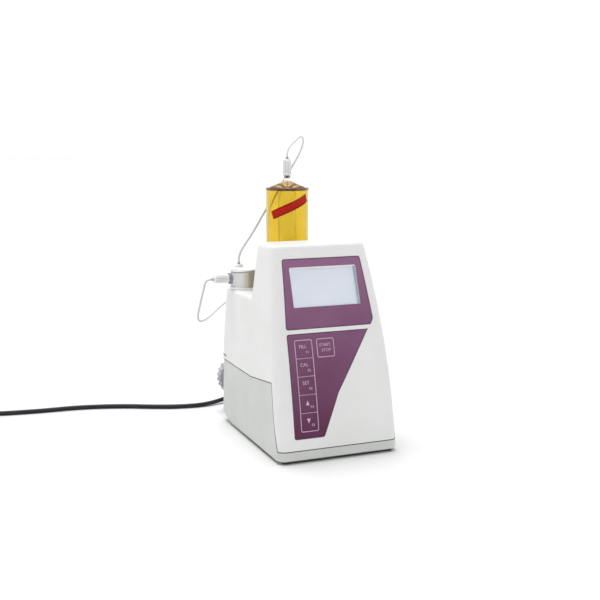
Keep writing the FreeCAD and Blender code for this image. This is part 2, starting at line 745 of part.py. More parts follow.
def front_corners(inset, top):
    """The curved front of the housing from a height down to its foot, as a side view. Below the seam
    a smaller arc brings it upright, with no corner between the two arcs."""
    lip_bow = (S.seam_height - S.foot_height) / sine(S.front_tilt)
    bow = lip_bow - inset
    foot_depth = lip_bow * cosine(S.front_tilt) - root(bow * bow - inset * inset)
    return [
        (front_at(top, inset), top, S.front_radius - inset, 1),
        (inset * cosine(S.front_tilt), S.seam_height - inset * sine(S.front_tilt), bow, 1),
        (foot_depth, S.foot_height + inset),
    ]


def tub_block(name, inset, seen_from_front):
    top = S.deck_height
    side = rear_corners(inset, S.tub_depth) + [(S.tub_depth - inset, top)] + front_corners(inset, top)
    block = side_block(name, side, seen_from_front)
    corner = S.corner_round - inset
    eased = fillet(name + "_front", block, corner, upright_between(-S.overrun, S.frame_front))
    return fillet(name + "_rear", eased, corner, upright_between(S.bevel_start, S.body_depth))


def upper_block(name, inset, seen_from_front):
    """The display tower and the rear deck, each rounded by itself."""
    floor = S.foot_height + inset
    top = S.tower_top - inset
    deck = S.deck_height - inset
    corner = S.corner_round - inset
    lean = (S.tower_rear_foot - S.tower_rear_top) / (S.tower_top - S.deck_height)
    rear_top = S.tower_rear_top - inset
    rear_low = rear_top + lean * (top - floor)
    tower_side = [(rear_low, floor), (rear_top, top)] + front_corners(inset, top)
    tower = side_block(name + "_tower", tower_side, seen_from_front)
    tower = fillet(name + "_tower_front", tower, corner, upright_between(-S.overrun, S.frame_front))
    tower = fillet(name + "_tower_rear", tower, S.tower_round - inset,
                   upright_between(S.frame_front, S.bevel_start))
    inner_front = S.frame_front
    deck_side = [(inner_front, floor)] + rear_corners(inset, S.body_depth)
    deck_side += [(S.body_depth - inset, deck), (inner_front, deck)]
    rear = side_block(name + "_deck", deck_side, seen_from_front)
    rear = fillet(name + "_deck_rear", rear, corner, upright_between(S.bevel_start, S.body_depth + S.overrun))
    if inset is ZERO:
        tower = fillet(name + "_tower_crown", tower, S.top_round, level_at(top, ZERO))
        rear = fillet(name + "_deck_crown", rear, S.deck_round, level_at(deck, inner_front + S.overrun))
    return join(name, [tower, rear])


def parting_points(shift):
    """The parting line of the two shells, from the front to the rear."""
    return [
        (-S.overrun, S.seam_height - shift),
        (S.part_low_depth + shift, S.seam_height - shift),
        (S.part_mid_depth + shift, S.part_mid_height - shift),
        (S.part_peak_depth + shift, S.part_peak_height - shift),
        (S.part_fall_depth, S.part_level - shift),
        (S.body_depth + S.overrun, S.part_level - shift),
    ]


def parting_block(name, above):
    body = new_body(name)
    sketch = new_sketch(body, name + "_outline", "YZ_Plane")
    points = parting_points(-S.seam_gap / 2 if above else S.seam_gap / 2)
    edge = S.tower_top + S.overrun if above else -S.overrun
    points += [(S.body_depth + S.overrun, edge), (-S.overrun, edge)]
    outline(sketch, points)
    pad(body, sketch, S.body_width + S.overrun, "Symmetric")
    return body


def face_strip(name, inset_outer, inset_inner):
    """A slab that follows the curved front between two insets, over the panel's height."""
    body = new_body(name)
    sketch = new_sketch(body, name + "_outline", "YZ_Plane")
    low = S.seam_height
    high = S.tower_top
    outline(sketch, [
        (front_at(low, inset_outer), low),
        (front_at(low, inset_inner), low, S.front_radius - inset_inner, -1),
        (front_at(high, inset_inner), high),
        (front_at(high, inset_outer), high, S.front_radius - inset_outer, 1),
    ])
    pad(body, sketch, S.body_width, "Symmetric")
    return body


def display_outline(grow):
    return [
        (-S.panel_left_foot - grow, face_height(S.panel_foot) - grow),
        (S.panel_right_foot + grow, face_height(S.panel_foot) - grow),
        (S.panel_right_bulge + grow, face_height(S.panel_foot + S.panel_bulge_rise)),
        (S.panel_right_top + grow, face_height(S.panel_top) + grow),
        (-S.panel_left_top - grow, face_height(S.panel_top) + grow),
    ]


def keypad_outline(grow):
    top = face_height(S.panel_foot - S.panel_gap)
    foot = face_height(S.pad_foot)
    return [
        (-S.pad_left_foot - grow, foot - grow),
        (S.pad_right_foot + grow, foot - grow),
        (S.pad_waist + grow, face_height(S.pad_foot + S.pad_waist_rise)),
        (S.pad_right_top + grow, top + grow),
        (-S.panel_left_foot - grow, top + grow),
    ]


def foil_prism(name, points):
    """An outline seen from the front, pushed through the whole panel, with rounded corners."""
    body = new_body(name)
    sketch = new_sketch(body, name + "_outline", "XZ_Plane")
    outline(sketch, points)
    block = pad(body, sketch, S.tower_rear_top, back=True)
    doc.recompute()
    edges = []
    for i, edge in enumerate(block.Shape.Edges, start=1):
        box_of = edge.BoundBox
        slanted = abs(box_of.Center.x - S.pad_waist.value) < S.overrun.value
        if box_of.YLength > box_of.XLength + box_of.ZLength and not slanted:
            edges.append(f"Edge{i}")
    rounding = body.newObject("PartDesign::Fillet", name + "_corners")
    rounding.Base = (block, edges)
    bind(rounding, "Radius", S.foil_round)
    move(body, y=-S.overrun)
    return body


def window_block(name, grow, deep):
    """A straight block through the display window, square to the face at the window's middle."""
    middle = S.window_foot + S.window_height / 2
    width = S.window_width + 2 * grow
    height = S.window_height + 2 * grow
    body = new_body(name)
    sketch = new_sketch(body, name + "_outline", "XY_Plane")
    outline(sketch, rounded(width, height, S.key_round))
    pad(body, sketch, deep, "Symmetric")
    return on_face(body, ZERO, middle)


def key_places():
    """Every key's name, its middle in X and its middle along the face."""
    names = ["key_fill", "key_cal", "key_set", "key_up", "key_down"]
    first = S.key_top - S.key_pitch / 2
    places = [(names[i], S.column_middle, first - S.key_pitch * i) for i in range(KEY_COUNT)]
    return places + [("key_start_stop", S.start_middle, first)]


def key_well(name, x, along, deep):
    side = S.key_pitch - S.key_rib
    well = box(name, (side, side, deep))
    return on_face_box(well, x, along, side, deep)


def on_face_box(item, x, along, side, deep):
    """Lay a square box on the face so that its middle is at the place and its top at the surface."""
    turn = Rotation(Vector(1, 0, 0), 90 - face_tilt(along).value)
    tilt = face_tilt(along)
    y = face_depth(along) - side / 2 * sine(tilt) + deep * cosine(tilt)
    z = face_height(along) - side / 2 * cosine(tilt) - deep * sine(tilt)
    return move(item, x - side / 2, y, z, rotation=turn)


def make_shells():
    outside = front_view("outside_front_view", ZERO)
    inside = front_view("inside_front_view", S.wall)
    block = overlap("upper_solid", [upper_block("outer", ZERO, outside), parting_block("upper_side", True)])
    upper = cut("upper_walls", block, [upper_block("inner", S.wall, inside)])

    depth = S.foil_set + S.foil_thickness + S.foil_air
    recess = face_strip("foil_recess", -S.overrun, depth)
    display_hole = overlap("display_recess", [recess, foil_prism("display_room", display_outline(S.foil_air))])
    keypad_hole = overlap("keypad_recess", [recess, foil_prism("keypad_room", keypad_outline(S.foil_air))])
    window = window_block("window_hole", ZERO, 4 * S.overrun)
    tools = [display_hole, keypad_hole, window]
    deep = S.foil_set + S.key_thickness + S.key_travel + S.key_air
    for name, x, along in key_places():
        tools.append(key_well(name + "_well", x, along, deep))
        hole = rod(name + "_hole", S.stem_radius + S.stem_air, 4 * S.overrun)
        tools.append(on_face(hole, x, along, 2 * S.overrun))

    screw_way = S.screw_radius + 2 * S.key_travel
    tools.append(rod("screw_way", screw_way, 2 * S.overrun,
                     (ZERO, S.cylinder_depth, S.deck_height - S.overrun)))
    tools.append(rod("plug_way_hole", S.plug_radius + S.stem_air, 2 * S.overrun,
                     (S.valve_x, S.valve_depth, S.deck_height - S.overrun)))
    slot_y = S.tub_depth - S.slot_margin - S.slot_length
    slot_z = S.part_level + S.slot_rise
    slot_x = -side_at(slot_z)
    tools.append(box("side_slot", (2 * S.slot_depth, S.slot_length, S.slot_height),
                     (slot_x - S.slot_depth, slot_y, slot_z)))
    piece(cut("upper_housing", upper, tools), "upper_housing")

    tub = tub_block("tub_outer", ZERO, outside)
    foot_edges = level_at(S.foot_height, -S.overrun)
    tub = fillet("tub_lip", tub, S.lip_round, foot_edges)
    block = overlap("tub_solid", [tub, parting_block("lower_side", False)])
    walls = cut("tub_walls", block, [tub_block("tub_inner", S.wall, inside)])
    filled = join("tub_filled", [walls] + screw_bosses())
    opening = box("panel_hole", (S.rear_panel_width - 2 * S.rear_frame, 2 * S.overrun,
                                 S.rear_panel_height - 2 * S.rear_frame),
                  (S.panel_x - S.rear_panel_width / 2 + S.rear_frame, S.tub_depth - S.overrun,
                   S.rear_panel_foot + S.rear_frame))
    piece(cut("lower_tub", filled, [opening] + screw_holes()), "lower_tub")


def screw_spots():
    side = HALF_WIDTH - S.boss_side
    return [(sign * side, depth) for sign in (-1, 1) for depth in (S.boss_front, S.boss_rear)]


def screw_bosses():
    floor = S.foot_height + S.wall / 2
    return [rod(f"boss_{i}", S.boss_radius, S.boss_height, (x, y, floor))
            for i, (x, y) in enumerate(screw_spots())]


def screw_holes():
    holes = []
    for i, (x, y) in enumerate(screw_spots()):
        low = S.foot_height - S.overrun
        holes.append(rod(f"head_hole_{i}", S.screw_head_radius + S.stem_air,
                         S.overrun + S.screw_head_height, (x, y, low)))
        holes.append(rod(f"shank_hole_{i}", S.shank_radius + S.fit,
                         S.overrun + S.screw_head_height + S.shank_length, (x, y, low)))
    return holes


def make_screws():
    screws = []
    for i, (x, y) in enumerate(screw_spots()):
        low = S.foot_height + S.fit
        head = rod(f"screw_head_{i}", S.screw_head_radius, S.screw_head_height - 2 * S.fit, (x, y, low))
        shank = rod(f"screw_shank_{i}", S.shank_radius, S.screw_head_height + S.shank_length - 4 * S.fit,
                    (x, y, low))
        screws.append(join(f"screw_{i}", [head, shank]))
    piece(group("housing_screws", screws), "housing_screws")


def make_feet():
    feet = []
    side = HALF_WIDTH - S.foot_inset_x
    for i, (sign, y) in enumerate([(s, y) for s in (-1, 1) for y in (S.foot_front_depth, S.foot_rear_depth)]):
        feet.append(cone(f"foot_{i}", S.foot_radius - S.key_round, S.foot_radius, S.foot_height,
                         (sign * side, y, ZERO)))
    piece(group("rubber_feet", feet), "rubber_feet")


# Front panel

def make_foils():
    front = S.foil_set
    back = S.foil_set + S.foil_thickness
    strip = face_strip("foil_strip", front, back)
    display = overlap("display_sheet", [strip, foil_prism("display_shape", display_outline(ZERO))])
    piece(cut("display_foil", display, [window_block("foil_window", ZERO, 4 * S.overrun)]), "display_foil")
    keypad = overlap("keypad_sheet", [strip, foil_prism("keypad_shape", keypad_outline(ZERO))])
    deep = 2 * S.overrun
    holes = []
    for name, x, along in key_places():
        side = S.key_pitch - S.key_rib
        hole = box(name + "_window", (side, side, deep))
        tilt = face_tilt(along)
        half = deep / 2
        turn = Rotation(Vector(1, 0, 0), 90 - tilt.value)
        holes.append(move(hole, x - side / 2,
                          face_depth(along) - side / 2 * sine(tilt) + half * cosine(tilt),
                          face_height(along) - side / 2 * cosine(tilt) - half * sine(tilt),
                          rotation=turn))
    piece(cut("keypad_foil", keypad, holes), "keypad_foil")


def sag(half_length):
    """How far the inside of the curved front rises above a flat plate of this half length."""
    return half_length * half_length / (2 * (S.front_radius - S.wall))


def glass_inset():
    return S.wall + sag(S.window_height / 2 + S.window_lap) + S.fit


def make_display():
    middle = S.window_foot + S.window_height / 2
    width = S.window_width + 2 * S.window_lap
    height = S.window_height + 2 * S.window_lap
    glass = new_body("lcd_glass")
    sketch = new_sketch(glass, "glass_outline", "XY_Plane")
    outline(sketch, rounded(width, height, S.key_round))
    pad(glass, sketch, S.glass_thickness, back=True)
    piece(on_face(glass, ZERO, middle, glass_inset()), "lcd_glass")

    module = new_body("lcd_module")
    sketch = new_sketch(module, "module_outline", "XY_Plane")
    outline(sketch, rounded(width, height, S.key_round))
    pad(module, sketch, S.module_thickness, back=True)
    sketch = new_sketch(module, "module_board_outline", "XY_Plane")
    sketch.AttachmentOffset = Placement(Vector(0, 0, -S.module_thickness.value), Rotation())
    bind(sketch, "AttachmentOffset.Base.z", -S.module_thickness)
    outline(sketch, rounded(width + S.module_lap, height + S.module_lap, S.key_round))
    pad(module, sketch, S.board_thickness, back=True)
    inset = glass_inset() + S.glass_thickness + S.fit
    piece(on_face(module, ZERO, middle, inset), "lcd_module")


def keypad_middle():
    return S.key_top - S.key_pitch * KEY_COUNT / 2


def keypad_inset():
    half = S.key_pitch * KEY_COUNT / 2 + S.keypad_margin
    return S.wall + sag(half) + S.board_air


def board_inset_at(along):
    """Inset of the flat keypad board below the curved face."""
    away = along - keypad_middle()
    return keypad_inset() - away * away / (2 * S.front_radius)


def make_keys():
    side = S.key_pitch - S.key_rib - 2 * S.key_air
    for name, x, along in key_places():
        body = new_body(name)
        sketch = new_sketch(body, name + "_cap", "XY_Plane")
        outline(sketch, rounded(side, side, S.key_round))
        pad(body, sketch, S.key_thickness, back=True)
        sketch = new_sketch(body, name + "_stem", "XY_Plane")
        circle_in(sketch, ZERO, ZERO, S.stem_radius)
        reach = board_inset_at(along) - S.foil_set - S.key_travel - S.board_air / 2
        pad(body, sketch, reach, back=True)
        piece(on_face(body, x, along, S.foil_set), name)

    board = new_body("keypad_board")
    sketch = new_sketch(board, "keypad_board_outline", "XY_Plane")
    left = S.column_middle - S.key_pitch / 2 - S.keypad_margin / 2
    right = S.start_middle + S.key_pitch / 2 + S.keypad_margin / 2
    length = S.key_pitch * KEY_COUNT + 2 * S.keypad_margin
    outline(sketch, rounded(right - left, length, S.key_round))
    pad(board, sketch, S.board_thickness, back=True)
    piece(on_face(board, (left + right) / 2, keypad_middle(), keypad_inset()), "keypad_board")


# Piston cylinder unit

def at_cylinder(item, z=ZERO):
    return move(item, ZERO, S.cylinder_depth, z)


def make_cylinder_unit():
    foot = S.deck_height + S.fit
    seat = foot + S.base_height - S.seat_depth
    glass_radius = S.bore_radius + S.glass_wall
    inner = S.jacket_radius - S.jacket_wall
    way = S.screw_radius + 2 * S.key_travel
    base = turned("cylinder_base", [
        (way, ZERO), (S.jacket_radius, ZERO), (S.jacket_radius, S.base_height - S.seat_depth),
        (inner - S.fit, S.base_height - S.seat_depth), (inner - S.fit, S.base_height),
        (glass_radius + S.fit, S.base_height), (glass_radius + S.fit, S.base_height - S.seat_depth),
        (way, S.base_height - S.seat_depth),
    ])
    piece(at_cylinder(base, foot), "cylinder_base")

    length = S.jacket_top - seat
    jacket = turned("amber_jacket", [
        (inner, ZERO), (S.jacket_radius, ZERO), (S.jacket_radius, length), (inner, length),
    ])
    piece(at_cylinder(jacket, seat), "amber_jacket")

    head_seat = S.jacket_top + S.seat_depth
    glass = turned("glass_cylinder", [
        (S.bore_radius, ZERO), (glass_radius, ZERO), (glass_radius, head_seat - seat),
        (S.bore_radius, head_seat - seat),
    ])
    piece(at_cylinder(glass, seat), "glass_cylinder")

    ring = S.jacket_radius + S.ring_over
    top = S.ring_height + S.cone_height
    thread = S.neck_radius + S.thread_ridge
    cone_foot = inner
    head = turned("cylinder_head", [
        (S.hose_radius, S.seat_depth + S.fit), (glass_radius + S.fit, S.seat_depth + S.fit),
        (glass_radius + S.fit, ZERO), (ring, ZERO),
        (ring, S.ring_height), (cone_foot, S.ring_height), (S.neck_radius, top),
        (S.neck_radius, top + S.neck_height - S.neck_thread), (thread, top + S.neck_height - S.neck_thread),
        (thread, top + S.neck_height), (S.hose_radius, top + S.neck_height),
    ])
    piece(at_cylinder(head, S.jacket_top + S.fit), "cylinder_head")


def piston_foot():
    return S.deck_height + S.fit + S.base_height


def make_piston():
    groove = S.bore_radius - S.fit - S.piston_groove
    rim = S.bore_radius - S.fit
    third = S.piston_height / 5
    piston = turned("piston", [
        (ZERO, ZERO), (groove, ZERO), (rim, third / 2), (rim, third), (groove, third),
        (groove, 2 * third), (rim, 2 * third), (rim, 3 * third), (groove, 3 * third), (groove, 4 * third),
        (rim, 4 * third), (rim, S.piston_height - third / 2), (groove, S.piston_height),
        (ZERO, S.piston_height),
    ])
    piece(at_cylinder(piston, piston_foot()), "piston")

    length = piston_foot() - S.screw_foot
    screw = rod("screw_core", S.screw_radius, length, (ZERO, S.cylinder_depth, S.screw_foot))
    reach = S.motor_side / 2 + S.fit + S.frame_plate
    pin = rod("guide_pin", S.guide_pin_radius, 2 * reach,
              (-reach, S.cylinder_depth, S.screw_foot + S.guide_pin_rise), "X")
    piece(join("lead_screw", [screw, pin]), "lead_screw")


def gear(name, teeth, height, bore_radius):
    """A spur gear with its lowest face at its own origin."""
    body = new_body(name)
    disc = new_sketch(body, name + "_disc", "XY_Plane")
    pitch_radius = S.gear_module * teeth / 2
    foot = pitch_radius - 1.25 * S.gear_module
    circle_in(disc, ZERO, ZERO, foot)
    circle_in(disc, ZERO, ZERO, bore_radius)
    pad(body, disc, height)
    tooth = new_sketch(body, name + "_tooth", "XY_Plane")
    root_half = 0.86 * S.gear_module
    tip_half = 0.32 * S.gear_module
    sunk = foot - S.gear_module / 2
    outline(tooth, [
        (sunk, -root_half), (foot, -root_half), (pitch_radius + 0.9 * S.gear_module, -tip_half),
        (pitch_radius + 0.9 * S.gear_module, tip_half), (foot, root_half), (sunk, root_half),
    ])
    tooth_pad = pad(body, tooth, height)
    around(body, tooth_pad, tooth, teeth)
    return body


def gear_distance():
    return S.gear_module * (GEAR_TEETH + PINION_TEETH) / 2


def bearing_top():
    return S.platform_height + S.platform_thickness + S.fit + S.bearing_height


def make_drive():
    low = bearing_top() + S.fit
    bore = S.screw_radius + S.fit
    rim = gear("nut_gear_rim", GEAR_TEETH, S.gear_height, bore)
    gear_low = low + (S.hub_height - S.gear_height) / 2
    # a gap between two teeth faces the pinion
    turn = Rotation(Vector(0, 0, 1), -90 + 180 / GEAR_TEETH)
    move(rim, ZERO, S.cylinder_depth, gear_low, rotation=turn)
    hub = turned("nut_gear_hub", [(bore, ZERO), (S.hub_radius, ZERO), (S.hub_radius, S.hub_height),
                                  (bore, S.hub_height)])
    at_cylinder(hub, low)
    piece(join("nut_gear", [rim, hub]), "nut_gear")

    motor_y = S.cylinder_depth - gear_distance()
    pinion = gear("pinion_rim", PINION_TEETH, S.gear_height + S.gear_module, S.shaft_radius)
    move(pinion, ZERO, motor_y, gear_low - S.gear_module / 2, rotation=Rotation(Vector(0, 0, 1), 90))
    shaft_low = S.platform_height - S.shaft_depth
    shaft = rod("pinion_shaft", S.shaft_radius, gear_low + S.gear_height + S.gear_module - shaft_low,
                (ZERO, motor_y, shaft_low))
    piece(join("motor_pinion", [pinion, shaft]), "motor_pinion")

    side = S.motor_side
    case = box("motor_case", (side, side, S.motor_height),
               (-side / 2, motor_y - side / 2, S.platform_height - S.fit - S.motor_height))
    doc.recompute()
    eased = fillet("motor_eased", case, 4 * S.key_round,
                   lambda edge: edge.BoundBox.ZLength > S.motor_height.value / 2)
    way = rod("motor_bore", S.shaft_radius + S.fit, S.shaft_depth + S.overrun,
              (ZERO, motor_y, S.platform_height - S.shaft_depth - S.fit))
    piece(cut("stepper_motor", eased, [way]), "stepper_motor")

    ring = turned("thrust_bearing", [
        (S.screw_radius + 2 * S.key_travel, ZERO), (S.bearing_radius, ZERO),
        (S.bearing_radius, S.bearing_height * 0.4), (S.bearing_radius - S.key_travel, S.bearing_height * 0.4),
        (S.bearing_radius - S.key_travel, S.bearing_height * 0.6), (S.bearing_radius, S.bearing_height * 0.6),
        (S.bearing_radius, S.bearing_height), (S.screw_radius + 2 * S.key_travel, S.bearing_height),
    ])
    piece(at_cylinder(ring, S.platform_height + S.platform_thickness + S.fit), "thrust_bearing")
    make_frame(motor_y)


def make_frame(motor_y):
    floor = S.foot_height + S.wall + S.fit
    inside = S.motor_side / 2 + S.key_travel / 2
    length = S.frame_rear - S.frame_front
    parts = [box("platform", (2 * (inside + S.frame_plate), length, S.platform_thickness),
                 (-inside - S.frame_plate, S.frame_front, S.platform_height))]
    tools = []
    for sign, name in ((-1, "left"), (1, "right")):
        x = inside if sign > 0 else -inside - S.frame_plate
        flange_x = inside if sign > 0 else -inside - S.frame_flange
        parts.append(box(f"{name}_plate", (S.frame_plate, length, S.platform_height + S.platform_thickness - floor),
                         (x, S.frame_front, floor)))
        parts.append(box(f"{name}_flange", (S.frame_flange, length, S.frame_plate),
                         (flange_x, S.frame_front, floor)))
    width = 4 * S.motor_side
    slot = 2 * (S.guide_pin_radius + S.stem_air)
    slot_low = S.screw_foot
    tools.append(box("guide_slot", (width, slot, S.platform_height - slot_low),
                     (-width / 2, S.cylinder_depth - slot / 2, slot_low)))
    tools.append(box("side_window", (width, S.motor_side, S.frame_window),
                     (-width / 2, S.frame_front + 2 * S.overrun, floor + 3 * S.overrun)))
    tools.append(rod("platform_screw_way", S.screw_radius + 2 * S.key_travel, 4 * S.platform_thickness,
                     (ZERO, S.cylinder_depth, S.platform_height - S.platform_thickness)))
    tools.append(rod("platform_shaft_way", S.shaft_radius + S.key_travel, 4 * S.platform_thickness,
                     (ZERO, motor_y, S.platform_height - S.platform_thickness)))
    tools.append(box("frame_heel_room", (width, length, S.frame_heel_height - floor + S.fit),
                     (-width / 2, S.frame_heel, floor - S.fit)))
    piece(cut("drive_frame", join("frame_sheet", parts), tools), "drive_frame")


# Valve

def at_valve(item, z=ZERO):
    return move(item, S.valve_x, S.valve_depth, z)


def top_port():
    return S.valve_x + S.top_port_x, S.valve_depth + S.top_port_y


def rear_port(distance):
    """A point on the axis of the rear port at a distance from the valve's axis."""
    return (S.valve_x + distance * sine(S.port_turn), S.valve_depth + distance * cosine(S.port_turn),
            S.port_height)


def make_valve():
    seat_low = S.deck_height + S.fit
    drum_low = seat_low + S.seat_ring_height + S.fit
    way = S.plug_radius + S.stem_air
    seat = turned("valve_seat", [
        (way, ZERO), (S.seat_ring_radius, ZERO), (S.seat_ring_radius, S.seat_ring_height - S.key_travel),
        (S.seat_ring_radius - S.key_travel, S.seat_ring_height), (way, S.seat_ring_height),
    ])
    piece(at_valve(seat, seat_low), "valve_seat")

    inner = S.drum_radius - S.drum_wall
    height = S.drum_top - drum_low
    lid = height - S.drum_wall
    drum = turned("drum_shell", [
        (inner, ZERO), (S.drum_radius, ZERO), (S.drum_radius, height - S.key_round),
        (S.drum_radius - S.key_round, height), (ZERO, height), (ZERO, lid), (inner, lid),
    ])
    at_valve(drum, drum_low)
    boss_reach = S.drum_radius + S.port_boss_length - inner
    left_boss = rod("left_boss", S.port_boss_radius, boss_reach,
                    (S.valve_x - S.drum_radius - S.port_boss_length, S.valve_depth, S.port_height), "X")
    rear_boss = rod("rear_boss", S.port_boss_radius, boss_reach,
                    rear_port(inner), "rear port")
    neck_way = S.port_neck_radius + S.fit
    left_way = rod("left_way", neck_way, 4 * S.overrun,
                   (S.valve_x - S.drum_radius - 2 * S.overrun, S.valve_depth, S.port_height), "X")
    rear_way = rod("rear_way", neck_way, 4 * S.overrun,
                   rear_port(S.drum_radius - 2 * S.overrun), "rear port")
    top_x, top_y = top_port()
    top_way = rod("top_way", S.nut_radius + S.stem_air, 2 * S.overrun, (top_x, top_y, S.drum_top - S.overrun))
    room = rod("drum_room", inner, lid, (S.valve_x, S.valve_depth, drum_low))
    solid = cut("drum_hollow", join("drum_blank", [drum, left_boss, rear_boss]), [room])
    piece(cut("valve_housing", solid, [left_way, rear_way, top_way]), "valve_housing")

    body_low = drum_low
    body_height = lid - S.fit
    core = turned("valve_core", [
        (S.plug_radius + S.fit, ZERO), (inner - S.fit, ZERO), (inner - S.fit, body_height),
        (S.plug_radius + S.fit, body_height),
    ])
    at_valve(core, body_low)
    nut_face = S.drum_radius + S.port_boss_length + S.fit
    neck_end = nut_face + S.port_neck_length
    neck_root = inner - 2 * S.drum_wall
    left_neck = rod("left_neck", S.port_neck_radius, neck_end - neck_root,
                    (S.valve_x - neck_end, S.valve_depth, S.port_height), "X")
    rear_neck = rod("rear_neck", S.port_neck_radius, neck_end - neck_root,
                    rear_port(neck_root), "rear port")
    well_low = S.drum_top + S.top_nut_rise - S.nut_length - S.fit
    well = rod("nut_well", S.nut_radius + S.stem_air, S.nut_length, (top_x, top_y, well_low))
    top_neck = rod("top_neck", S.port_neck_radius, S.port_neck_length, (top_x, top_y, well_low))
    hollowed = cut("valve_core_welled", core, [well])
    piece(join("valve_body", [hollowed, left_neck, rear_neck, top_neck]), "valve_body")

    motor_top = S.deck_height - S.wall - S.board_air
    plug_low = motor_top - S.shaft_depth / 3
    plug_top = body_low + body_height - 2 * S.fit
    plug = rod("plug_rod", S.plug_radius, plug_top - motor_top - S.fit,
               (S.valve_x, S.valve_depth, motor_top + S.fit))
    tail = rod("plug_tail", S.shaft_radius, motor_top + 2 * S.fit - plug_low,
               (S.valve_x, S.valve_depth, plug_low))
    flow = rod("plug_flow", S.plug_way, 2 * S.plug_radius,
               (S.valve_x - 2 * S.plug_radius, S.valve_depth, S.port_height), "X")
    cross_flow = rod("plug_cross_flow", S.plug_way, 2 * S.plug_radius,
                     (S.valve_x, S.valve_depth, S.port_height), "Y")
    piece(cut("valve_plug", join("plug_blank", [plug, tail]), [flow, cross_flow]), "valve_plug")

    side = S.valve_motor_side
    case = box("valve_motor_case", (side, side, S.valve_motor_height),
               (S.valve_x - side / 2, S.valve_depth - side / 2, motor_top - S.valve_motor_height))
    doc.recompute()
    eased = fillet("valve_motor_eased", case, 3 * S.key_round,
                   lambda edge: edge.BoundBox.ZLength > S.valve_motor_height.value / 2)
    bore = rod("valve_motor_bore", S.shaft_radius + S.fit, S.shaft_depth,
               (S.valve_x, S.valve_depth, plug_low - S.fit))
    piece(cut("valve_motor", eased, [bore]), "valve_motor")


# Hose nuts and ferrules

def ribbed_nut(name):
    """A ribbed nut that stands on its own origin, with its hose end up."""
    body = new_body(name)
    sketch = new_sketch(body, name + "_round", "XY_Plane")
    circle_in(sketch, ZERO, ZERO, S.nut_radius)
    circle_in(sketch, ZERO, ZERO, S.neck_radius + S.thread_ridge + S.fit)
    pad(body, sketch, S.nut_length - S.nut_collar)
    roof = new_sketch(body, name + "_roof", "XY_Plane")
    bind(roof, "AttachmentOffset.Base.z", S.nut_length - S.nut_collar)
    circle_in(roof, ZERO, ZERO, S.nut_radius)
    pad(body, roof, S.nut_collar)
    groove = new_sketch(body, name + "_groove", "XY_Plane")
    bind(groove, "AttachmentOffset.Base.z", S.nut_collar)
    circle_in(groove, S.nut_radius + S.nut_groove / 2, ZERO, S.nut_groove)
    channel = pocket(body, groove, S.nut_length - 2 * S.nut_collar, back=True)
    around(body, channel, groove, NUT_RIBS)
    return body


def make_nuts():
    reach = S.drum_radius + S.port_boss_length + 2 * S.fit
    top_x, top_y = top_port()
    head_low = S.jacket_top + 2 * S.fit + S.ring_height + S.cone_height + S.neck_seen
    west = Rotation(Vector(0, 1, 0), -90)
    ferrules = []
    spots = [
        ("cylinder_nut", (ZERO, S.cylinder_depth, head_low), Rotation(), (0, 0, 1)),
        ("left_nut", (S.valve_x - reach, S.valve_depth, S.port_height), west, (-1, 0, 0)),
        ("rear_nut", rear_port(reach), ALONG["rear port"], (sine(S.port_turn), cosine(S.port_turn), 0)),
        ("top_nut", (top_x, top_y, S.drum_top + S.top_nut_rise - S.nut_length), Rotation(), (0, 0, 1)),
    ]
    for name, place, rotation, way in spots:
        nut = ribbed_nut(name)
        move(nut, *place, rotation=rotation)
        piece(nut, name)
        start = [place[i] + way[i] * S.nut_length for i in range(3)]
        tip = cone(name + "_tip", S.ferrule_radius, S.hose_radius, S.ferrule_length)
        ferrules.append(move(tip, *start, rotation=rotation))
    piece(group("hose_ferrules", ferrules), "hose_ferrules")


def hose_end(name):
    """Where a hose leaves its ferrule, in the front frame."""
    reach = S.drum_radius.value + S.port_boss_length.value + 2 * S.fit.value
    reach += S.nut_length.value + S.ferrule_length.value
    x, y, z = S.valve_x.value, S.valve_depth.value, S.port_height.value
    turn = math.radians(S.port_turn.value)
    top_x, top_y = top_port()
    top_z = S.drum_top.value + S.top_nut_rise.value + S.ferrule_length.value
    head_low = S.jacket_top + 2 * S.fit + S.ring_height + S.cone_height + S.neck_seen
    head_z = head_low.value + S.nut_length.value + S.ferrule_length.value
    return {
        "left": Vector(x - reach, y, z),
        "rear": Vector(x + reach * math.sin(turn), y + reach * math.cos(turn), z),
        "top": Vector(top_x.value, top_y.value, top_z),
        "head": Vector(0, S.cylinder_depth.value, head_z),
    }[name]


# Stand rod clamp

def clamp_bore_depth():
    return S.tub_depth + S.fit + S.clamp_front_wall + S.rod_radius


def clamp_rear():
    return clamp_bore_depth() + S.rod_radius + S.clamp_rear_wall


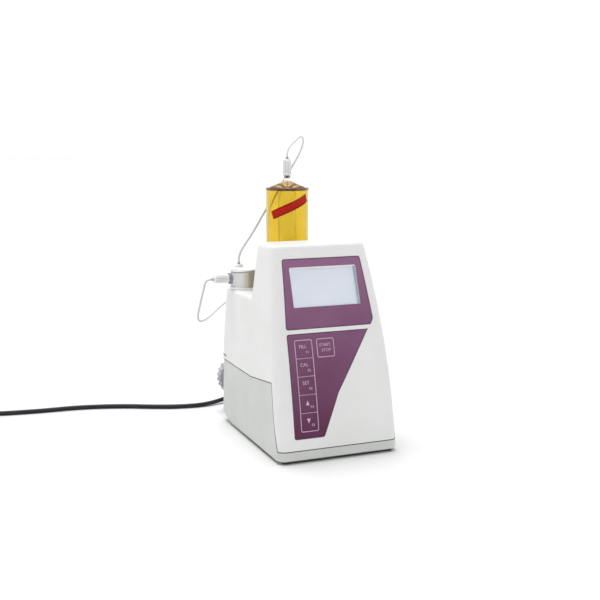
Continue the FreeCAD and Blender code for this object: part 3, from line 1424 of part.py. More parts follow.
def make_clamp():
    front = S.tub_depth + S.fit
    block = box("clamp_blank", (S.clamp_width, clamp_rear() - front, S.clamp_tall),
                (S.clamp_x - S.clamp_width / 2, front, S.clamp_height - S.clamp_tall / 2))
    doc.recompute()
    eased = fillet("clamp_eased", block, 4 * S.key_round,
                   lambda edge: edge.BoundBox.ZLength > S.clamp_tall.value / 2
                   and edge.BoundBox.Center.y > clamp_bore_depth().value)
    bore = rod("rod_bore", S.rod_radius, S.clamp_tall + 2 * S.overrun,
               (S.clamp_x, clamp_bore_depth(), S.clamp_height - S.clamp_tall / 2 - S.overrun))
    thread = rod("thread_bore", S.clamp_screw_radius + S.fit, clamp_rear() - clamp_bore_depth() + S.overrun,
                 (S.clamp_x, clamp_bore_depth(), S.clamp_height), "Y")
    pad_end = clamp_bore_depth() + S.rod_radius + 2 * S.fit + S.pad_thickness
    seat = rod("pad_seat", S.pad_radius + S.stem_air, pad_end + 2 * S.fit - clamp_bore_depth(),
               (S.clamp_x, clamp_bore_depth(), S.clamp_height), "Y")
    piece(cut("clamp_block", eased, [bore, thread, seat]), "clamp_block")

    piece(rod("clamp_pad", S.pad_radius, S.pad_thickness,
              (S.clamp_x, pad_end - S.pad_thickness, S.clamp_height), "Y"), "clamp_pad")

    hub_start = clamp_rear() + S.clamp_travel + S.board_air
    screw_start = pad_end + S.fit
    knob = new_body("knob_disc")
    sketch = new_sketch(knob, "knob_round", "XY_Plane")
    circle_in(sketch, ZERO, ZERO, S.knob_radius)
    pad(knob, sketch, S.knob_thickness)
    lobe = new_sketch(knob, "knob_scallops", "XY_Plane")
    circle_in(lobe, S.knob_radius + S.knob_scallop / 3, ZERO, S.knob_scallop)
    scallop = pocket(knob, lobe, S.knob_thickness, back=True)
    around(knob, scallop, lobe, KNOB_LOBES)
    dish = new_sketch(knob, "knob_dish", "XY_Plane")
    bind(dish, "AttachmentOffset.Base.z", S.knob_thickness)
    circle_in(dish, ZERO, ZERO, S.knob_radius - 3 * S.knob_scallop)
    knob.Tip = pocket(knob, dish, S.knob_hub_length)
    disc_start = hub_start + S.knob_hub_length
    move(knob, S.clamp_x, disc_start, S.clamp_height, rotation=ALONG["Y"])
    hub = rod("knob_hub", S.knob_hub_radius, 2 * S.knob_hub_length, (S.clamp_x, hub_start, S.clamp_height), "Y")
    screw = rod("knob_screw", S.clamp_screw_radius, disc_start + S.knob_hub_length - screw_start,
                (S.clamp_x, screw_start, S.clamp_height), "Y")
    piece(join("clamp_knob", [knob, hub, screw]), "clamp_knob")


# Rear panel and its fittings

def panel_outside():
    """Depth of the rear panel's outer face."""
    return S.tub_depth - S.wall - 2 * S.fit


def make_rear_panel():
    outside = panel_outside()
    inside = outside - S.board_thickness
    plate = box("panel_plate", (S.rear_panel_width, S.board_thickness, S.rear_panel_height),
                (S.panel_x - S.rear_panel_width / 2, inside, S.rear_panel_foot))
    tools = [rod("relief_hole", S.relief_radius + S.fit, 2 * S.overrun,
                 (S.relief_x, inside - S.overrun, S.relief_height), "Y")]
    rim = S.switch_rim
    tools.append(box("switch_hole", (S.switch_width - 2 * rim + 2 * S.fit, 2 * S.overrun,
                                     S.switch_tall - 2 * rim + 2 * S.fit),
                     (S.switch_x - S.switch_width / 2 + rim - S.fit, inside - S.overrun,
                      S.switch_height - S.switch_tall / 2 + rim - S.fit)))
    piece(cut("rear_panel", plate, tools), "rear_panel")

    root_length = S.tub_depth - outside
    tip = S.relief_tip
    length = root_length + S.relief_length
    corners = [(ZERO, -S.overrun), (S.relief_radius, -S.overrun), (S.relief_radius, S.fit),
               (S.relief_flange, S.fit), (S.relief_flange, root_length)]
    step = S.relief_length / RELIEF_RINGS
    taper = (S.relief_radius - tip) / S.relief_length
    for i in range(RELIEF_RINGS):
        start = root_length + step * i
        middle = start + step / 2
        high = S.relief_radius - taper * (step * i)
        low = high - S.key_travel
        corners += [(high, start), (high, middle), (low, middle), (low, start + step)]
    corners += [(ZERO, length)]
    relief = turned("strain_relief", corners)
    move(relief, S.relief_x, outside, S.relief_height, rotation=ALONG["Y"])
    piece(relief, "strain_relief")
    make_switch(outside)
    make_sockets(outside)


def make_switch(outside):
    rim = S.switch_rim
    width, tall = S.switch_width, S.switch_tall
    low_x, low_z = S.switch_x - width / 2, S.switch_height - tall / 2
    bezel = box("switch_bezel", (width, S.switch_proud, tall), (low_x, outside + S.fit, low_z))
    case_depth = 2 * S.overrun
    case = box("switch_case", (width - 2 * rim, case_depth, tall - 2 * rim),
               (low_x + rim, outside + 2 * S.fit - case_depth, low_z + rim))
    inner = S.switch_rim / 2
    well_depth = S.switch_proud + 2 * rim
    well = box("switch_well", (width - 2 * rim - 2 * inner, well_depth + S.overrun, tall - 2 * rim - 2 * inner),
               (low_x + rim + inner, outside + S.switch_proud - well_depth, low_z + rim + inner))
    piece(cut("switch_frame", join("switch_blank", [bezel, case]), [well]), "switch_frame")

    rocker = new_body("power_switch")
    sketch = new_sketch(rocker, "rocker_outline", "YZ_Plane")
    half = tall / 2 - rim - inner - 2 * S.stem_air
    reach = S.switch_proud
    depth = rim
    outline(sketch, [
        (-depth, -half / 2), (ZERO, -half), (reach / 2, -half), (S.fit, ZERO), (reach / 2, half), (ZERO, half),
        (-depth, half / 2),
    ])
    pad(rocker, sketch, width - 2 * rim - 2 * inner - 2 * S.stem_air, "Symmetric")
    tilt = Rotation(Vector(1, 0, 0), -S.rocker_tilt.value)
    move(rocker, S.switch_x, outside + S.switch_proud / 2, S.switch_height, rotation=tilt)
    piece(rocker, "power_switch")


def make_sockets(outside):
    parts = []
    for i in range(2):
        x = S.socket_x + S.socket_spacing * i
        body = new_body(f"socket_{i}")
        flange = new_sketch(body, f"socket_flange_{i}", "XZ_Plane")
        outline(flange, rounded(S.socket_width, S.socket_tall, 2 * S.key_round))
        pad(body, flange, S.key_thickness, back=True)
        half, top, slant = S.shell_width / 2, S.shell_tall / 2, S.key_round
        shell = new_sketch(body, f"socket_shell_{i}", "XZ_Plane")
        outline(shell, [(-half + slant, -top), (half - slant, -top), (half, top), (-half, top)])
        wall = S.key_travel
        outline(shell, [(-half + slant + wall, -top + wall), (half - slant - wall, -top + wall),
                        (half - wall, top - wall), (-half + wall, top - wall)])
        pad(body, shell, S.shell_length, back=True)
        core = new_sketch(body, f"socket_core_{i}", "XZ_Plane")
        inner = 2 * wall
        outline(core, [(-half + slant + inner, -top + inner), (half - slant - inner, -top + inner),
                       (half - inner, top - inner), (-half + inner, top - inner)])
        pad(body, core, S.shell_length / 2, back=True)
        parts.append(move(body, x, outside + S.fit, S.socket_height))
    piece(group("serial_sockets", parts), "serial_sockets")


# Boards inside

def make_boards():
    floor = S.foot_height + S.wall + S.board_air
    board = box("main_plate", (S.board_thickness, S.main_length, S.main_height), (S.main_x, S.main_front, floor))
    chip_rise = 2 * S.board_thickness
    chips = []
    for i in range(3):
        y = S.main_front + S.main_length * (0.12 + 0.28 * i)
        chips.append(box(f"chip_{i}", (chip_rise, S.main_length / 6, S.main_height / 4),
                         (S.main_x - chip_rise + S.fit, y, floor + S.main_height / 3)))
    piece(join("main_board", [board] + chips), "main_board")

    low_x = S.supply_x - S.supply_width / 2
    stand = floor + S.supply_stand
    parts = [box("supply_plate", (S.supply_width, S.supply_length, S.board_thickness),
                 (low_x, S.supply_front, stand))]
    for i, (u, v) in enumerate([(0.15, 0.08), (0.85, 0.08), (0.15, 0.92), (0.85, 0.92)]):
        parts.append(rod(f"stand_off_{i}", 2 * S.shank_radius, S.supply_stand + S.fit,
                         (low_x + S.supply_width * u, S.supply_front + S.supply_length * v, floor)))
    parts.append(box("transformer", (S.supply_width * 0.8, S.transformer_length, S.transformer_height),
                     (low_x + S.supply_width * 0.1, S.supply_front + S.supply_length * 0.55,
                      stand + S.board_thickness - S.fit)))
    for i in range(2):
        parts.append(rod(f"capacitor_{i}", S.supply_width / 5, S.transformer_height * 0.8,
                         (low_x + S.supply_width * 0.3, S.supply_front + S.supply_length * (0.16 + 0.2 * i),
                          stand + S.board_thickness - S.fit)))
    piece(join("power_supply", parts), "power_supply")


# Hoses and the mains lead

def corner_arc(start, corner, end):
    """The arc that leaves start for the corner and arrives at end from it, both equally far away."""
    half = (end - start).Length / 2
    weight = half / (corner - start).Length
    middle = (start + corner * (2 * weight) + end) * (1 / (2 + 2 * weight))
    return Part.Arc(start, middle, end).toShape()


def route_edges(points, label):
    """Straight runs joined by tangent arcs of 0.45 of the shorter run."""
    share = 0.45
    edges = []
    radii = []
    last = points[0]
    for before, corner, after in zip(points, points[1:], points[2:]):
        run_in, run_out = corner - before, after - corner
        cut_back = share * min(run_in.Length, run_out.Length)
        turn = run_in.getAngle(run_out)
        radii.append(cut_back / math.tan(turn / 2))
        start = corner - run_in.normalize() * cut_back
        end = corner + run_out.normalize() * cut_back
        edges.append(Part.LineSegment(last, start).toShape())
        edges.append(corner_arc(start, corner, end))
        last = end
    edges.append(Part.LineSegment(last, points[-1]).toShape())
    print(label, "radii", [round(radius, 1) for radius in radii])
    return edges


def tube(name, edges, radius):
    path = Part.Wire(edges)
    start = path.Edges[0]
    way = start.tangentAt(start.FirstParameter)
    profile = Part.Wire([Part.Circle(start.valueAt(start.FirstParameter), way, radius).toShape()])
    shell = Part.BRepOffsetAPI.MakePipeShell(path)
    shell.add(profile)
    shell.build()
    shell.makeSolid()
    solid = shell.shape()
    ratio = solid.Volume / (math.pi * radius ** 2 * path.Length)
    print(name, "length", round(path.Length, 1), "volume ratio", round(ratio, 5))
    item = doc.addObject("Part::Feature", name)
    item.Shape = solid
    PIECES.append(item)
    item.Label = name
    return item


def in_part_frame(points):
    origin_x, origin_y = own_origin()
    shift = Vector(origin_x.value, origin_y.value, 0)
    return [point - shift for point in points]


def hose_route(start, end, shares):
    """The points of a hose from one end to the other."""
    reach = S.hose_reach.value
    return [start] + [start + (end - start) * way + Vector(x, y, z) * reach for way, x, y, z in shares] + [end]


def make_hoses():
    radius = S.hose_radius.value
    route = hose_route(hose_end("head"), hose_end("top"), HEAD_HOSE_SHARES)
    tube("hose_head", route_edges(in_part_frame(route), "hose_head"), radius)
    route = hose_route(hose_end("left"), hose_end("rear"), LOOP_HOSE_SHARES)
    tube("hose_loop", route_edges(in_part_frame(route), "hose_loop"), radius)


def lead_height():
    return S.cord_radius.value + S.cord_lift.value


def coil_depth():
    """Depth of the middle of the put-away coil, from the front."""
    return S.tub_depth + S.relief_length + S.coil_behind


def coil_entry():
    """Where the lead meets the coil: at the rear of its outermost turn, running to the left."""
    return Vector(S.coil_x.value, (coil_depth() + S.coil_outer).value, lead_height())


def make_lead():
    relief_end = S.tub_depth + S.relief_length
    start = Vector(S.relief_x.value, relief_end.value, S.relief_height.value)
    entry = coil_entry()
    way = entry - start
    route = [start]
    route += [start + Vector(way.x * x, way.y * y, way.z * z) for x, y, z in LEAD_SHARES]
    route.append(entry + Vector(2 * S.cord_radius.value, 0, 0))
    tube("cord_lead", route_edges(in_part_frame(route), "cord_lead"), S.cord_radius.value)


def half_turn(start, radius, rise):
    """Half a turn of the coil as two quarter turns, anticlockwise, that climb by the rise."""
    way = -1 if round(start[3]) == 0 else 1
    x, y, z = start[:3]
    end = Vector(x, y + way * 2 * radius, z + rise)
    reach = math.sqrt(radius ** 2 + rise ** 2 / 4)
    first = Vector(x + way * reach, y, z)
    second = Vector(x + way * reach, end.y, end.z)
    middle = (first + second) * 0.5
    edges = [corner_arc(Vector(x, y, z), first, middle), corner_arc(middle, second, end)]
    return edges, (end.x, end.y, end.z, 1 if way < 0 else 0)


def make_coil():
    """Two layers of half turns: inwards on the table, up at the innermost half turn, then outwards."""
    radius = S.coil_outer.value
    step = S.coil_step.value / 2
    entry = in_part_frame([coil_entry()])[0]
    straight = 2 * S.cord_radius.value
    edges = [Part.LineSegment(entry + Vector(straight, 0, 0), entry).toShape()]
    place = (entry.x, entry.y, entry.z, 0)
    inward = [radius - step * i for i in range(COIL_HALF_TURNS)]
    climb = radius - step * COIL_HALF_TURNS
    turns = [(r, 0.0) for r in inward] + [(climb, S.coil_layer.value)]
    turns += [(r, 0.0) for r in reversed(inward[1:])]
    for r, rise in turns:
        pieces, place = half_turn(place, r, rise)
        edges += pieces
    last = Vector(*place[:3])
    end = last - Vector(S.tail_length.value, 0, 0)
    edges.append(Part.LineSegment(last, end).toShape())
    item = tube("cord_coil", edges, S.cord_radius.value)
    print_least_gap(edges)
    return item, end


def print_least_gap(edges):
    """Prints the least distance between stretches of the coil more than a quarter turn apart."""
    points = []
    length = 0.0
    for edge in edges:
        count = max(2, int(edge.Length / 2))
        for point in edge.discretize(Number=count + 1)[:-1]:
            points.append((length, point))
            length += edge.Length / count
    apart = S.coil_outer.value
    least = min(
        (p - q).Length for i, (a, p) in enumerate(points) for b, q in points[i + 1:] if b - a > apart)
    print("coil least gap", round(least - 2 * S.cord_radius.value, 2))


def make_mains_plug(end):
    """The plug lies beside the coil in line with the tail, its sleeve towards the lead."""
    half_root = S.mains_root_width / 2
    half = S.mains_width / 2
    length = S.mains_length
    plan = new_body("plug_plan")
    sketch = new_sketch(plan, "plug_plan_outline", "XY_Plane")
    outline(sketch, [
        (ZERO, -half_root), (ZERO, half_root), (-0.28 * length, half_root + S.key_round),
        (-0.7 * length, half), (-length, half), (-length, -half), (-0.7 * length, -half),
        (-0.28 * length, -half_root - S.key_round),
    ])
    pad(plan, sketch, 2 * S.mains_root_height, "Symmetric")
    side = new_body("plug_side")
    sketch = new_sketch(side, "plug_side_outline", "XZ_Plane")
    high, low = S.mains_root_height / 2, S.mains_height / 2
    outline(sketch, [
        (ZERO, -high), (ZERO, high), (-0.4 * length, high), (-length, low), (-length, -low), (-0.4 * length, -high),
    ])
    pad(side, sketch, 2 * S.mains_width, "Symmetric")
    block = overlap("plug_block", [plan, side])
    eased = fillet("plug_eased", block, 1.5 * S.key_round,
                   lambda edge: edge.BoundBox.XMin > -length.value + S.fit.value)
    sleeve_length = S.mains_length / 3
    sleeve = cone("plug_sleeve", 1.6 * S.cord_radius, 1.2 * S.cord_radius, sleeve_length,
                  (-S.fit, ZERO, ZERO), "X")
    plug = join("mains_plug", [eased, sleeve])
    root_x = S.coil_x - S.tail_length - sleeve_length
    root_y = coil_depth() + S.coil_outer - S.coil_step
    root_z = S.mains_root_height / 2
    move(plug, root_x, root_y, root_z)
    piece(plug, "mains_plug")
    pins = [rod(f"pin_{i}", S.pin_radius, S.pin_length,
                (root_x - length - S.fit - S.pin_length, root_y + sign * S.pin_spacing / 2, root_z), "X")
            for i, sign in enumerate((-1, 1))]
    print("plug root", end, root_x.value, root_y.value, root_z.value)
    piece(group("plug_pins", pins), "plug_pins")


make_shells()
make_feet()
make_screws()
make_foils()
make_display()
make_keys()
make_cylinder_unit()
make_piston()
make_drive()
make_valve()
make_nuts()
make_clamp()
make_rear_panel()
make_boards()
make_hoses()
make_lead()
coil_tube, tail_end = make_coil()
make_mains_plug(tail_end)
doc.recompute()

for item in doc.Objects:
    if "Invalid" in item.State or "Error" in item.State:
        raise RuntimeError(f"{item.Name} failed: {item.State}")
for item in PIECES:
    if item.Shape.isNull() or not item.Shape.isValid() or not item.Shape.Solids:
        raise RuntimeError(f"{item.Label} has no valid solid")

os.makedirs("parts", exist_ok=True)
for item in PIECES:
    item.Shape.exportStep(f"parts/{item.Label}.step")
print(len(PIECES), "pieces")
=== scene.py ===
import json
import math

import bpy
import numpy as np
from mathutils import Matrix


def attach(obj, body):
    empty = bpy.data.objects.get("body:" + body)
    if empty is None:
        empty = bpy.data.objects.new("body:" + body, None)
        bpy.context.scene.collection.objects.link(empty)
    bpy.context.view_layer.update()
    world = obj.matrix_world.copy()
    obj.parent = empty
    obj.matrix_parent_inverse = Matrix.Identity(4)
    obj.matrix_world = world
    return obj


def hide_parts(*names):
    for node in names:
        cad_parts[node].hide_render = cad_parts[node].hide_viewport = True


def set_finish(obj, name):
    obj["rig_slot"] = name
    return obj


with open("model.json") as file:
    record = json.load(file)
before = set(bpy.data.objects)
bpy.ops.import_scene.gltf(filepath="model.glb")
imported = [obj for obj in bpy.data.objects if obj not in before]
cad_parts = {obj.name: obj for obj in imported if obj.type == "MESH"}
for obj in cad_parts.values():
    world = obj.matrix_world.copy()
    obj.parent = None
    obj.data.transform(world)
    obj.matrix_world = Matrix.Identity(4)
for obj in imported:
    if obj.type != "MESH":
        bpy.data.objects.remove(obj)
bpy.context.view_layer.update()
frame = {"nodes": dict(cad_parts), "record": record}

# Measures in millimetres, seen from the front: X to the right, Y to the rear from the seam, Z up
MILLIMETRE = 0.001
ORIGIN = np.array([-8.35, 113.421, 0.0])
FRONT_RADIUS = 832.0
FRONT_TILT = math.radians(8.1)
SEAM_HEIGHT = 13.0
FOIL_SET = 0.1
PRINT_THICKNESS = 0.05
HALF_WIDTH = 67.5
DISPLAY_CORNERS = [(-49.2, 123.1), (46.6, 123.1), (50.0, 129.5), (44.0, 197.2), (-44.5, 197.2)]
KEYPAD_CORNERS = [(-49.5, 11.6), (-16.4, 11.6), (2.4, 55.1), (42.6, 118.8), (-49.2, 118.8)]
FOIL_ROUND = 2.5
BORDER_WIDTH = 0.8
BORDER_INSET = 0.42
KEY_PITCH = 18.6
KEY_TOP = 112.1
KEY_EDGE = 9.05
KEY_LINE = 0.7
KEY_RIB = 0.5
COLUMN_MIDDLE = -31.9
START_MIDDLE = -7.6
ALONG_X = (1.0, 0.0, 0.0)
ALONG_Z = (0.0, 0.0, 1.0)
CYLINDER_DEPTH = 147.5
JACKET_RADIUS = 23.7
SIDE_RADIUS = 1711.0
FOOT_HEIGHT = 3.0
CORNER_RADIUS = 9.5
NUT_RADIUS = 4.9
NUT_LENGTH = 18.0
NUT_BORE = 1.55
NUT_HOLLOW = 3.65
NUT_FLOOR = 15.9
NUT_RIBS = 16
NUT_GROOVE = 0.72
RIB_POINTS = 10
PARTING = [(5.6, 13.0), (15.6, 43.0), (24.7, 80.1), (88.0, 73.0), (179.0, 73.0)]
SEAM_WIDTH = 0.9
SEAM_PROUD = 0.06
LEAD_RADIUS = 2.6
HOSE_RADIUS = 1.35
LEAD_EXIT = (-3.0, 215.0, 28.5)
COIL_ENTRY = (-380.0, 305.9, 2.7)
COIL_RADII = [37.9, 34.9, 31.9, 28.9, 25.9, 22.9, 25.9, 28.9, 31.9, 34.9]
COIL_CLIMB = 5
COIL_LAYER = 5.7
COIL_POINTS = 6
COIL_TAIL = 32.0


def in_row(points):
    """Points of the front frame, in millimetres, as points of the row frame, in metres."""
    return (np.asarray(points, dtype=float) - ORIGIN) * MILLIMETRE


# Meshes

def placed(name, data):
    """A new object in the scene."""
    item = bpy.data.objects.new(name, data)
    bpy.context.scene.collection.objects.link(item)
    return item


def mesh_piece(name, points, faces, material, body, slot, smooth=False):
    """One object at the origin from points of the front frame and faces of point numbers."""
    mesh = bpy.data.meshes.new(name)
    mesh.from_pydata(in_row(points).tolist(), [], faces)
    mesh.validate()
    mesh.polygons.foreach_set("use_smooth", np.full(len(mesh.polygons), smooth))
    mesh.update()
    item = placed(name, mesh)
    mesh.materials.append(material)
    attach(item, body)
    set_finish(item, slot)
    return item


def grid_faces(rows, columns, closed_rows, closed_columns):
    """The quads of a grid whose rows or columns may close on themselves."""
    row = np.arange(rows if closed_rows else rows - 1)
    column = np.arange(columns if closed_columns else columns - 1)
    a, b = np.meshgrid(row, column, indexing="ij")
    a, b = a.ravel(), b.ravel()
    after_a, after_b = (a + 1) % rows, (b + 1) % columns
    return np.stack([a * columns + b, a * columns + after_b, after_a * columns + after_b,
                     after_a * columns + b], axis=1)


def unit(vectors):
    """Each row of vectors at length 1."""
    return vectors / np.linalg.norm(vectors, axis=1, keepdims=True)


def loop_sides(path, up):
    """The sideways direction at each point of a closed path, square to the path and to up."""
    return unit(np.cross(np.roll(path, -1, axis=0) - np.roll(path, 1, axis=0), up))


def swept(path, side, up, section, closed):
    """A section carried along a path: point(i, j) = path(i) + side(i) * across(j) + up(i) * high(j).
    An open sweep gets a flat cap at each end."""
    across, high = np.asarray(section, dtype=float).T
    points = path[:, None] + side[:, None] * across[None, :, None] + up[:, None] * high[None, :, None]
    rows, columns = len(path), len(across)
    faces = grid_faces(rows, columns, closed, True).tolist()
    if not closed:
        faces.append(list(range(columns))[::-1])
        faces.append(list(range((rows - 1) * columns, rows * columns)))
    return points.reshape(-1, 3), faces


def joined(parts):
    """Several pairs of points and faces as one pair."""
    points, faces, start = [], [], 0
    for part_points, part_faces in parts:
        points.append(part_points)
        faces += [[index + start for index in face] for face in part_faces]
        start += len(part_points)
    return np.concatenate(points), faces


def slab(layers):
    """A closed plate from two grids of points, the back one first."""
    rows, columns = layers[0].shape[:2]
    count = rows * columns
    low = grid_faces(rows, columns, False, False)
    top = low[:, ::-1] + count
    number = np.arange(count).reshape(rows, columns)
    rim = np.concatenate([number[:-1, 0], number[-1, :-1], number[:0:-1, -1], number[0, :0:-1]])
    after = np.roll(rim, -1)
    sides = np.stack([rim, rim + count, after + count, after], axis=1)
    points = np.concatenate([layer.reshape(-1, 3) for layer in layers])
    return points, np.concatenate([top, low, sides]).tolist()


# Faces of a triangle with a thickness: points 0 to 2 lie behind and points 3 to 5 in front
PRISM_FACES = [[2, 1, 0], [3, 4, 5], [0, 1, 4, 3], [1, 2, 5, 4], [2, 0, 3, 5]]


# Places on the curved front

def face_up(along):
    """Direction up the face: (0, sine, cosine) of the tilt, where tilt = first tilt + along / radius."""
    tilt = FRONT_TILT + np.asarray(along, dtype=float) / FRONT_RADIUS
    return np.stack([np.zeros_like(tilt), np.sin(tilt), np.cos(tilt)], axis=-1)


def face_out(along):
    """Direction out of the face: (0, -cosine, sine) of the tilt."""
    tilt = FRONT_TILT + np.asarray(along, dtype=float) / FRONT_RADIUS
    return np.stack([np.zeros_like(tilt), -np.cos(tilt), np.sin(tilt)], axis=-1)


def face_point(x, along, proud):
    """Depth = radius * (cosine of the first tilt - cosine of the tilt) and height = seam + radius *
    (sine of the tilt - sine of the first tilt), then outwards by proud."""
    x, along = np.broadcast_arrays(np.asarray(x, dtype=float), np.asarray(along, dtype=float))
    tilt = FRONT_TILT + along / FRONT_RADIUS
    depth = FRONT_RADIUS * (math.cos(FRONT_TILT) - np.cos(tilt))
    height = SEAM_HEIGHT + FRONT_RADIUS * (np.sin(tilt) - math.sin(FRONT_TILT))
    return np.stack([x, depth, height], axis=-1) + face_out(along) * np.asarray(proud)[..., None]


def along_at(height):
    """How far up the face a height lies."""
    turned = (np.asarray(height) - SEAM_HEIGHT) / FRONT_RADIUS + math.sin(FRONT_TILT)
    return FRONT_RADIUS * (np.arcsin(turned) - FRONT_TILT)


def height_at(along):
    """The height of a place up the face."""
    return SEAM_HEIGHT + FRONT_RADIUS * (math.sin(FRONT_TILT + along / FRONT_RADIUS) - math.sin(FRONT_TILT))


def rounded_loop(corners, radius, inset, arc_points=7, run_points=10):
    """A closed line with rounded corners, moved inwards. At each corner an arc of the radius touches both
    runs: its centre lies radius / sine of half the angle from the corner, on the angle's bisector."""
    corner = np.asarray(corners, dtype=float)
    before = unit(np.roll(corner, 1, axis=0) - corner)
    after = unit(np.roll(corner, -1, axis=0) - corner)
    half = np.arccos(np.clip((before * after).sum(1), -1, 1)) / 2
    bisector = unit(before + after)
    corner = corner + bisector * (inset / np.sin(half))[:, None]
    small = max(radius - inset, 0.1)
    centre = corner + bisector * (small / np.sin(half))[:, None]
    first = corner + before * (small / np.tan(half))[:, None] - centre
    last = corner + after * (small / np.tan(half))[:, None] - centre
    share = np.linspace(0, 1, arc_points)[None, :, None]
    turn = (math.pi - 2 * half)[:, None, None]
    arc = (first[:, None] * np.sin((1 - share) * turn) + last[:, None] * np.sin(share * turn)) / np.sin(turn)
    arcs = centre[:, None] + arc
    run = np.linspace(0, 1, run_points + 2)[1:-1][None, :, None]
    runs = arcs[:, -1:] * (1 - run) + np.roll(arcs, -1, axis=0)[:, :1] * run
    return np.concatenate([arcs, runs], axis=1).reshape(-1, 2)


def print_section(width):
    """The flat section of a printed line."""
    half = width / 2
    return [(-half, 0), (half, 0), (half, PRINT_THICKNESS), (-half, PRINT_THICKNESS)]


def printed_loop(x, along, width):
    """A closed printed line on the face: a flat section along the line, square to it in the face."""
    path = face_point(x, along, np.full(len(x), -FOIL_SET))
    up = face_out(along)
    return swept(path, loop_sides(path, up), up, print_section(width), True)


def printed_bar(x_low, x_high, along, width):
    """A straight printed line across the face at one height."""
    x = np.linspace(x_low, x_high, 3)
    path = face_point(x, np.full(3, along), np.full(3, -FOIL_SET))
    up = face_out(np.full(3, along))
    side = -face_up(np.full(3, along))
    return swept(path, side, up, print_section(width), False)


# Camera at the photograph's angle

CAMERA_PLACE = (-411.46, -900.54, 329.97)
CAMERA_PITCH = 9.42
CAMERA_TURN = -22.17
SENSOR = 36.0
FOCAL_PIXELS = 996.77
FRAME_PIXELS = 600

camera_data = bpy.data.cameras.new("camera")
camera_data.sensor_width = SENSOR
camera_data.lens = FOCAL_PIXELS * SENSOR / FRAME_PIXELS
camera = placed("camera", camera_data)
camera.location = in_row(CAMERA_PLACE).tolist()
camera.rotation_euler = (math.radians(90 - CAMERA_PITCH), 0.0, math.radians(CAMERA_TURN))
bpy.context.scene.camera = camera


# Cords: the mains lead with its put-away coil, and the two hoses

HEAD_HOSE_ROUTE = [
    (0, 147.5, 305.8), (0, 147.5, 312.8), (8.5, 149.3, 321.5), (20.5, 156, 329), (29.5, 168.5, 324),
    (27, 176.5, 308), (12, 178.5, 284), (-12, 179, 248.5), (-30.5, 178, 219), (-42.5, 177, 203.5),
    (-48.5, 176.5, 193.5), (-48.5, 176.5, 186.4),
]
LOOP_HOSE_ROUTE = [
    (-84.2, 169, 168.6), (-89.2, 169, 168.6), (-91.9, 169.1, 162.8), (-95.2, 170.6, 147),
    (-99.7, 174.5, 125), (-93, 184, 117.5), (-78, 196, 121), (-62, 207, 130.5),
    (-43, 216, 139), (-20, 221, 142.5), (-4, 220.5, 150.5), (0, 216.5, 160.5), (-6.46, 209.45, 168.6),
    (-12.25, 202.55, 168.6),
]
LEAD_ROUTE = [
    LEAD_EXIT, (-3, 233, 28.5), (-10, 250, 18.5), (-33, 258, 5.6), (-68, 243, 2.7), (-104, 247, 2.7),
    (-134, 259, 2.7), (-168, 276.5, 2.7), (-217, 290, 2.7), (-262, 290.5, 2.7), (-309, 297.2, 2.7),
    (-345, 305.9, 2.7),
]


def coil_route():
    """Half turns one after another. Half turn i has its centre a radius from where it starts, and its
    points at radius / cosine of half a step, so that the line's knots lie on the circle. The sixth half
    turn climbs one layer. The last point is the end of the straight tail."""
    x, y, z = COIL_ENTRY
    step = math.pi / COIL_POINTS
    turn = (np.arange(COIL_POINTS) + 0.5) * step
    way = -1
    points = []
    for i, radius in enumerate(COIL_RADII):
        rise = COIL_LAYER if i == COIL_CLIMB else 0.0
        reach = radius / math.cos(step / 2)
        points.append(np.stack([x + way * reach * np.sin(turn), y + way * (radius - reach * np.cos(turn)),
                                z + rise * turn / math.pi], axis=1))
        y += way * 2 * radius
        z += rise
        way = -way
    points.append([(x - COIL_TAIL, y, z)])
    return np.concatenate(points).tolist()


def free_line(name, route, radius, body):
    """A round line along one smooth spline that has the route's points as its control points."""
    curve = bpy.data.curves.new(name, "CURVE")
    curve.dimensions = "3D"
    spline = curve.splines.new("NURBS")
    spline.points.add(len(route) - 1)
    places = np.ones((len(route), 4))
    places[:, :3] = in_row(route)
    spline.points.foreach_set("co", places.ravel())
    spline.points.foreach_set("radius", np.full(len(route), radius * MILLIMETRE))
    spline.order_u = 3
    spline.use_endpoint_u = True
    curve.resolution_u = 8
    curve.bevel_depth = 1.0
    curve.bevel_resolution = 5
    curve.use_fill_caps = True
    item = placed(name, curve)
    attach(item, body)
    return item


mains_lead = free_line("mains_lead", LEAD_ROUTE + coil_route(), LEAD_RADIUS, "housing")
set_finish(mains_lead, "lead_black")
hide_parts("cord_lead", "cord_coil")

head_hose = free_line("head_hose", HEAD_HOSE_ROUTE, HOSE_RADIUS, "housing")
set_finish(head_hose, "hose")
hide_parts("hose_head")

loop_hose = free_line("loop_hose", LOOP_HOSE_ROUTE, HOSE_RADIUS, "housing")
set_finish(loop_hose, "hose")
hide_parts("hose_loop")


# Shader groups shared by the materials

def node_group(name, inputs, outputs):
    """An empty group with number or vector inputs and outputs."""
    group = bpy.data.node_groups.new(name, "ShaderNodeTree")
    for label, kind, value in inputs:
        socket = group.interface.new_socket(name=label, in_out="INPUT", socket_type=kind)
        if value is not None:
            socket.default_value = value
    for label, kind in outputs:
        group.interface.new_socket(name=label, in_out="OUTPUT", socket_type=kind)
    return group, group.nodes.new("NodeGroupInput"), group.nodes.new("NodeGroupOutput")


def set_inputs(node, **values):
    """Give a node's inputs their values. An underscore in a name stands for a space."""
    for label, value in values.items():
        node.inputs[label.replace("_", " ")].default_value = value


def math_node(tree, operation, first, second=None, clamp=False):
    """A sum on one or two values, each a number or another node's output."""
    node = tree.nodes.new("ShaderNodeMath")
    node.operation = operation
    node.use_clamp = clamp
    for socket, value in zip(node.inputs, (first, second)):
        if value is None:
            continue
        if isinstance(value, (int, float)):
            socket.default_value = value
        else:
            tree.links.new(value, socket)
    return node.outputs[0]


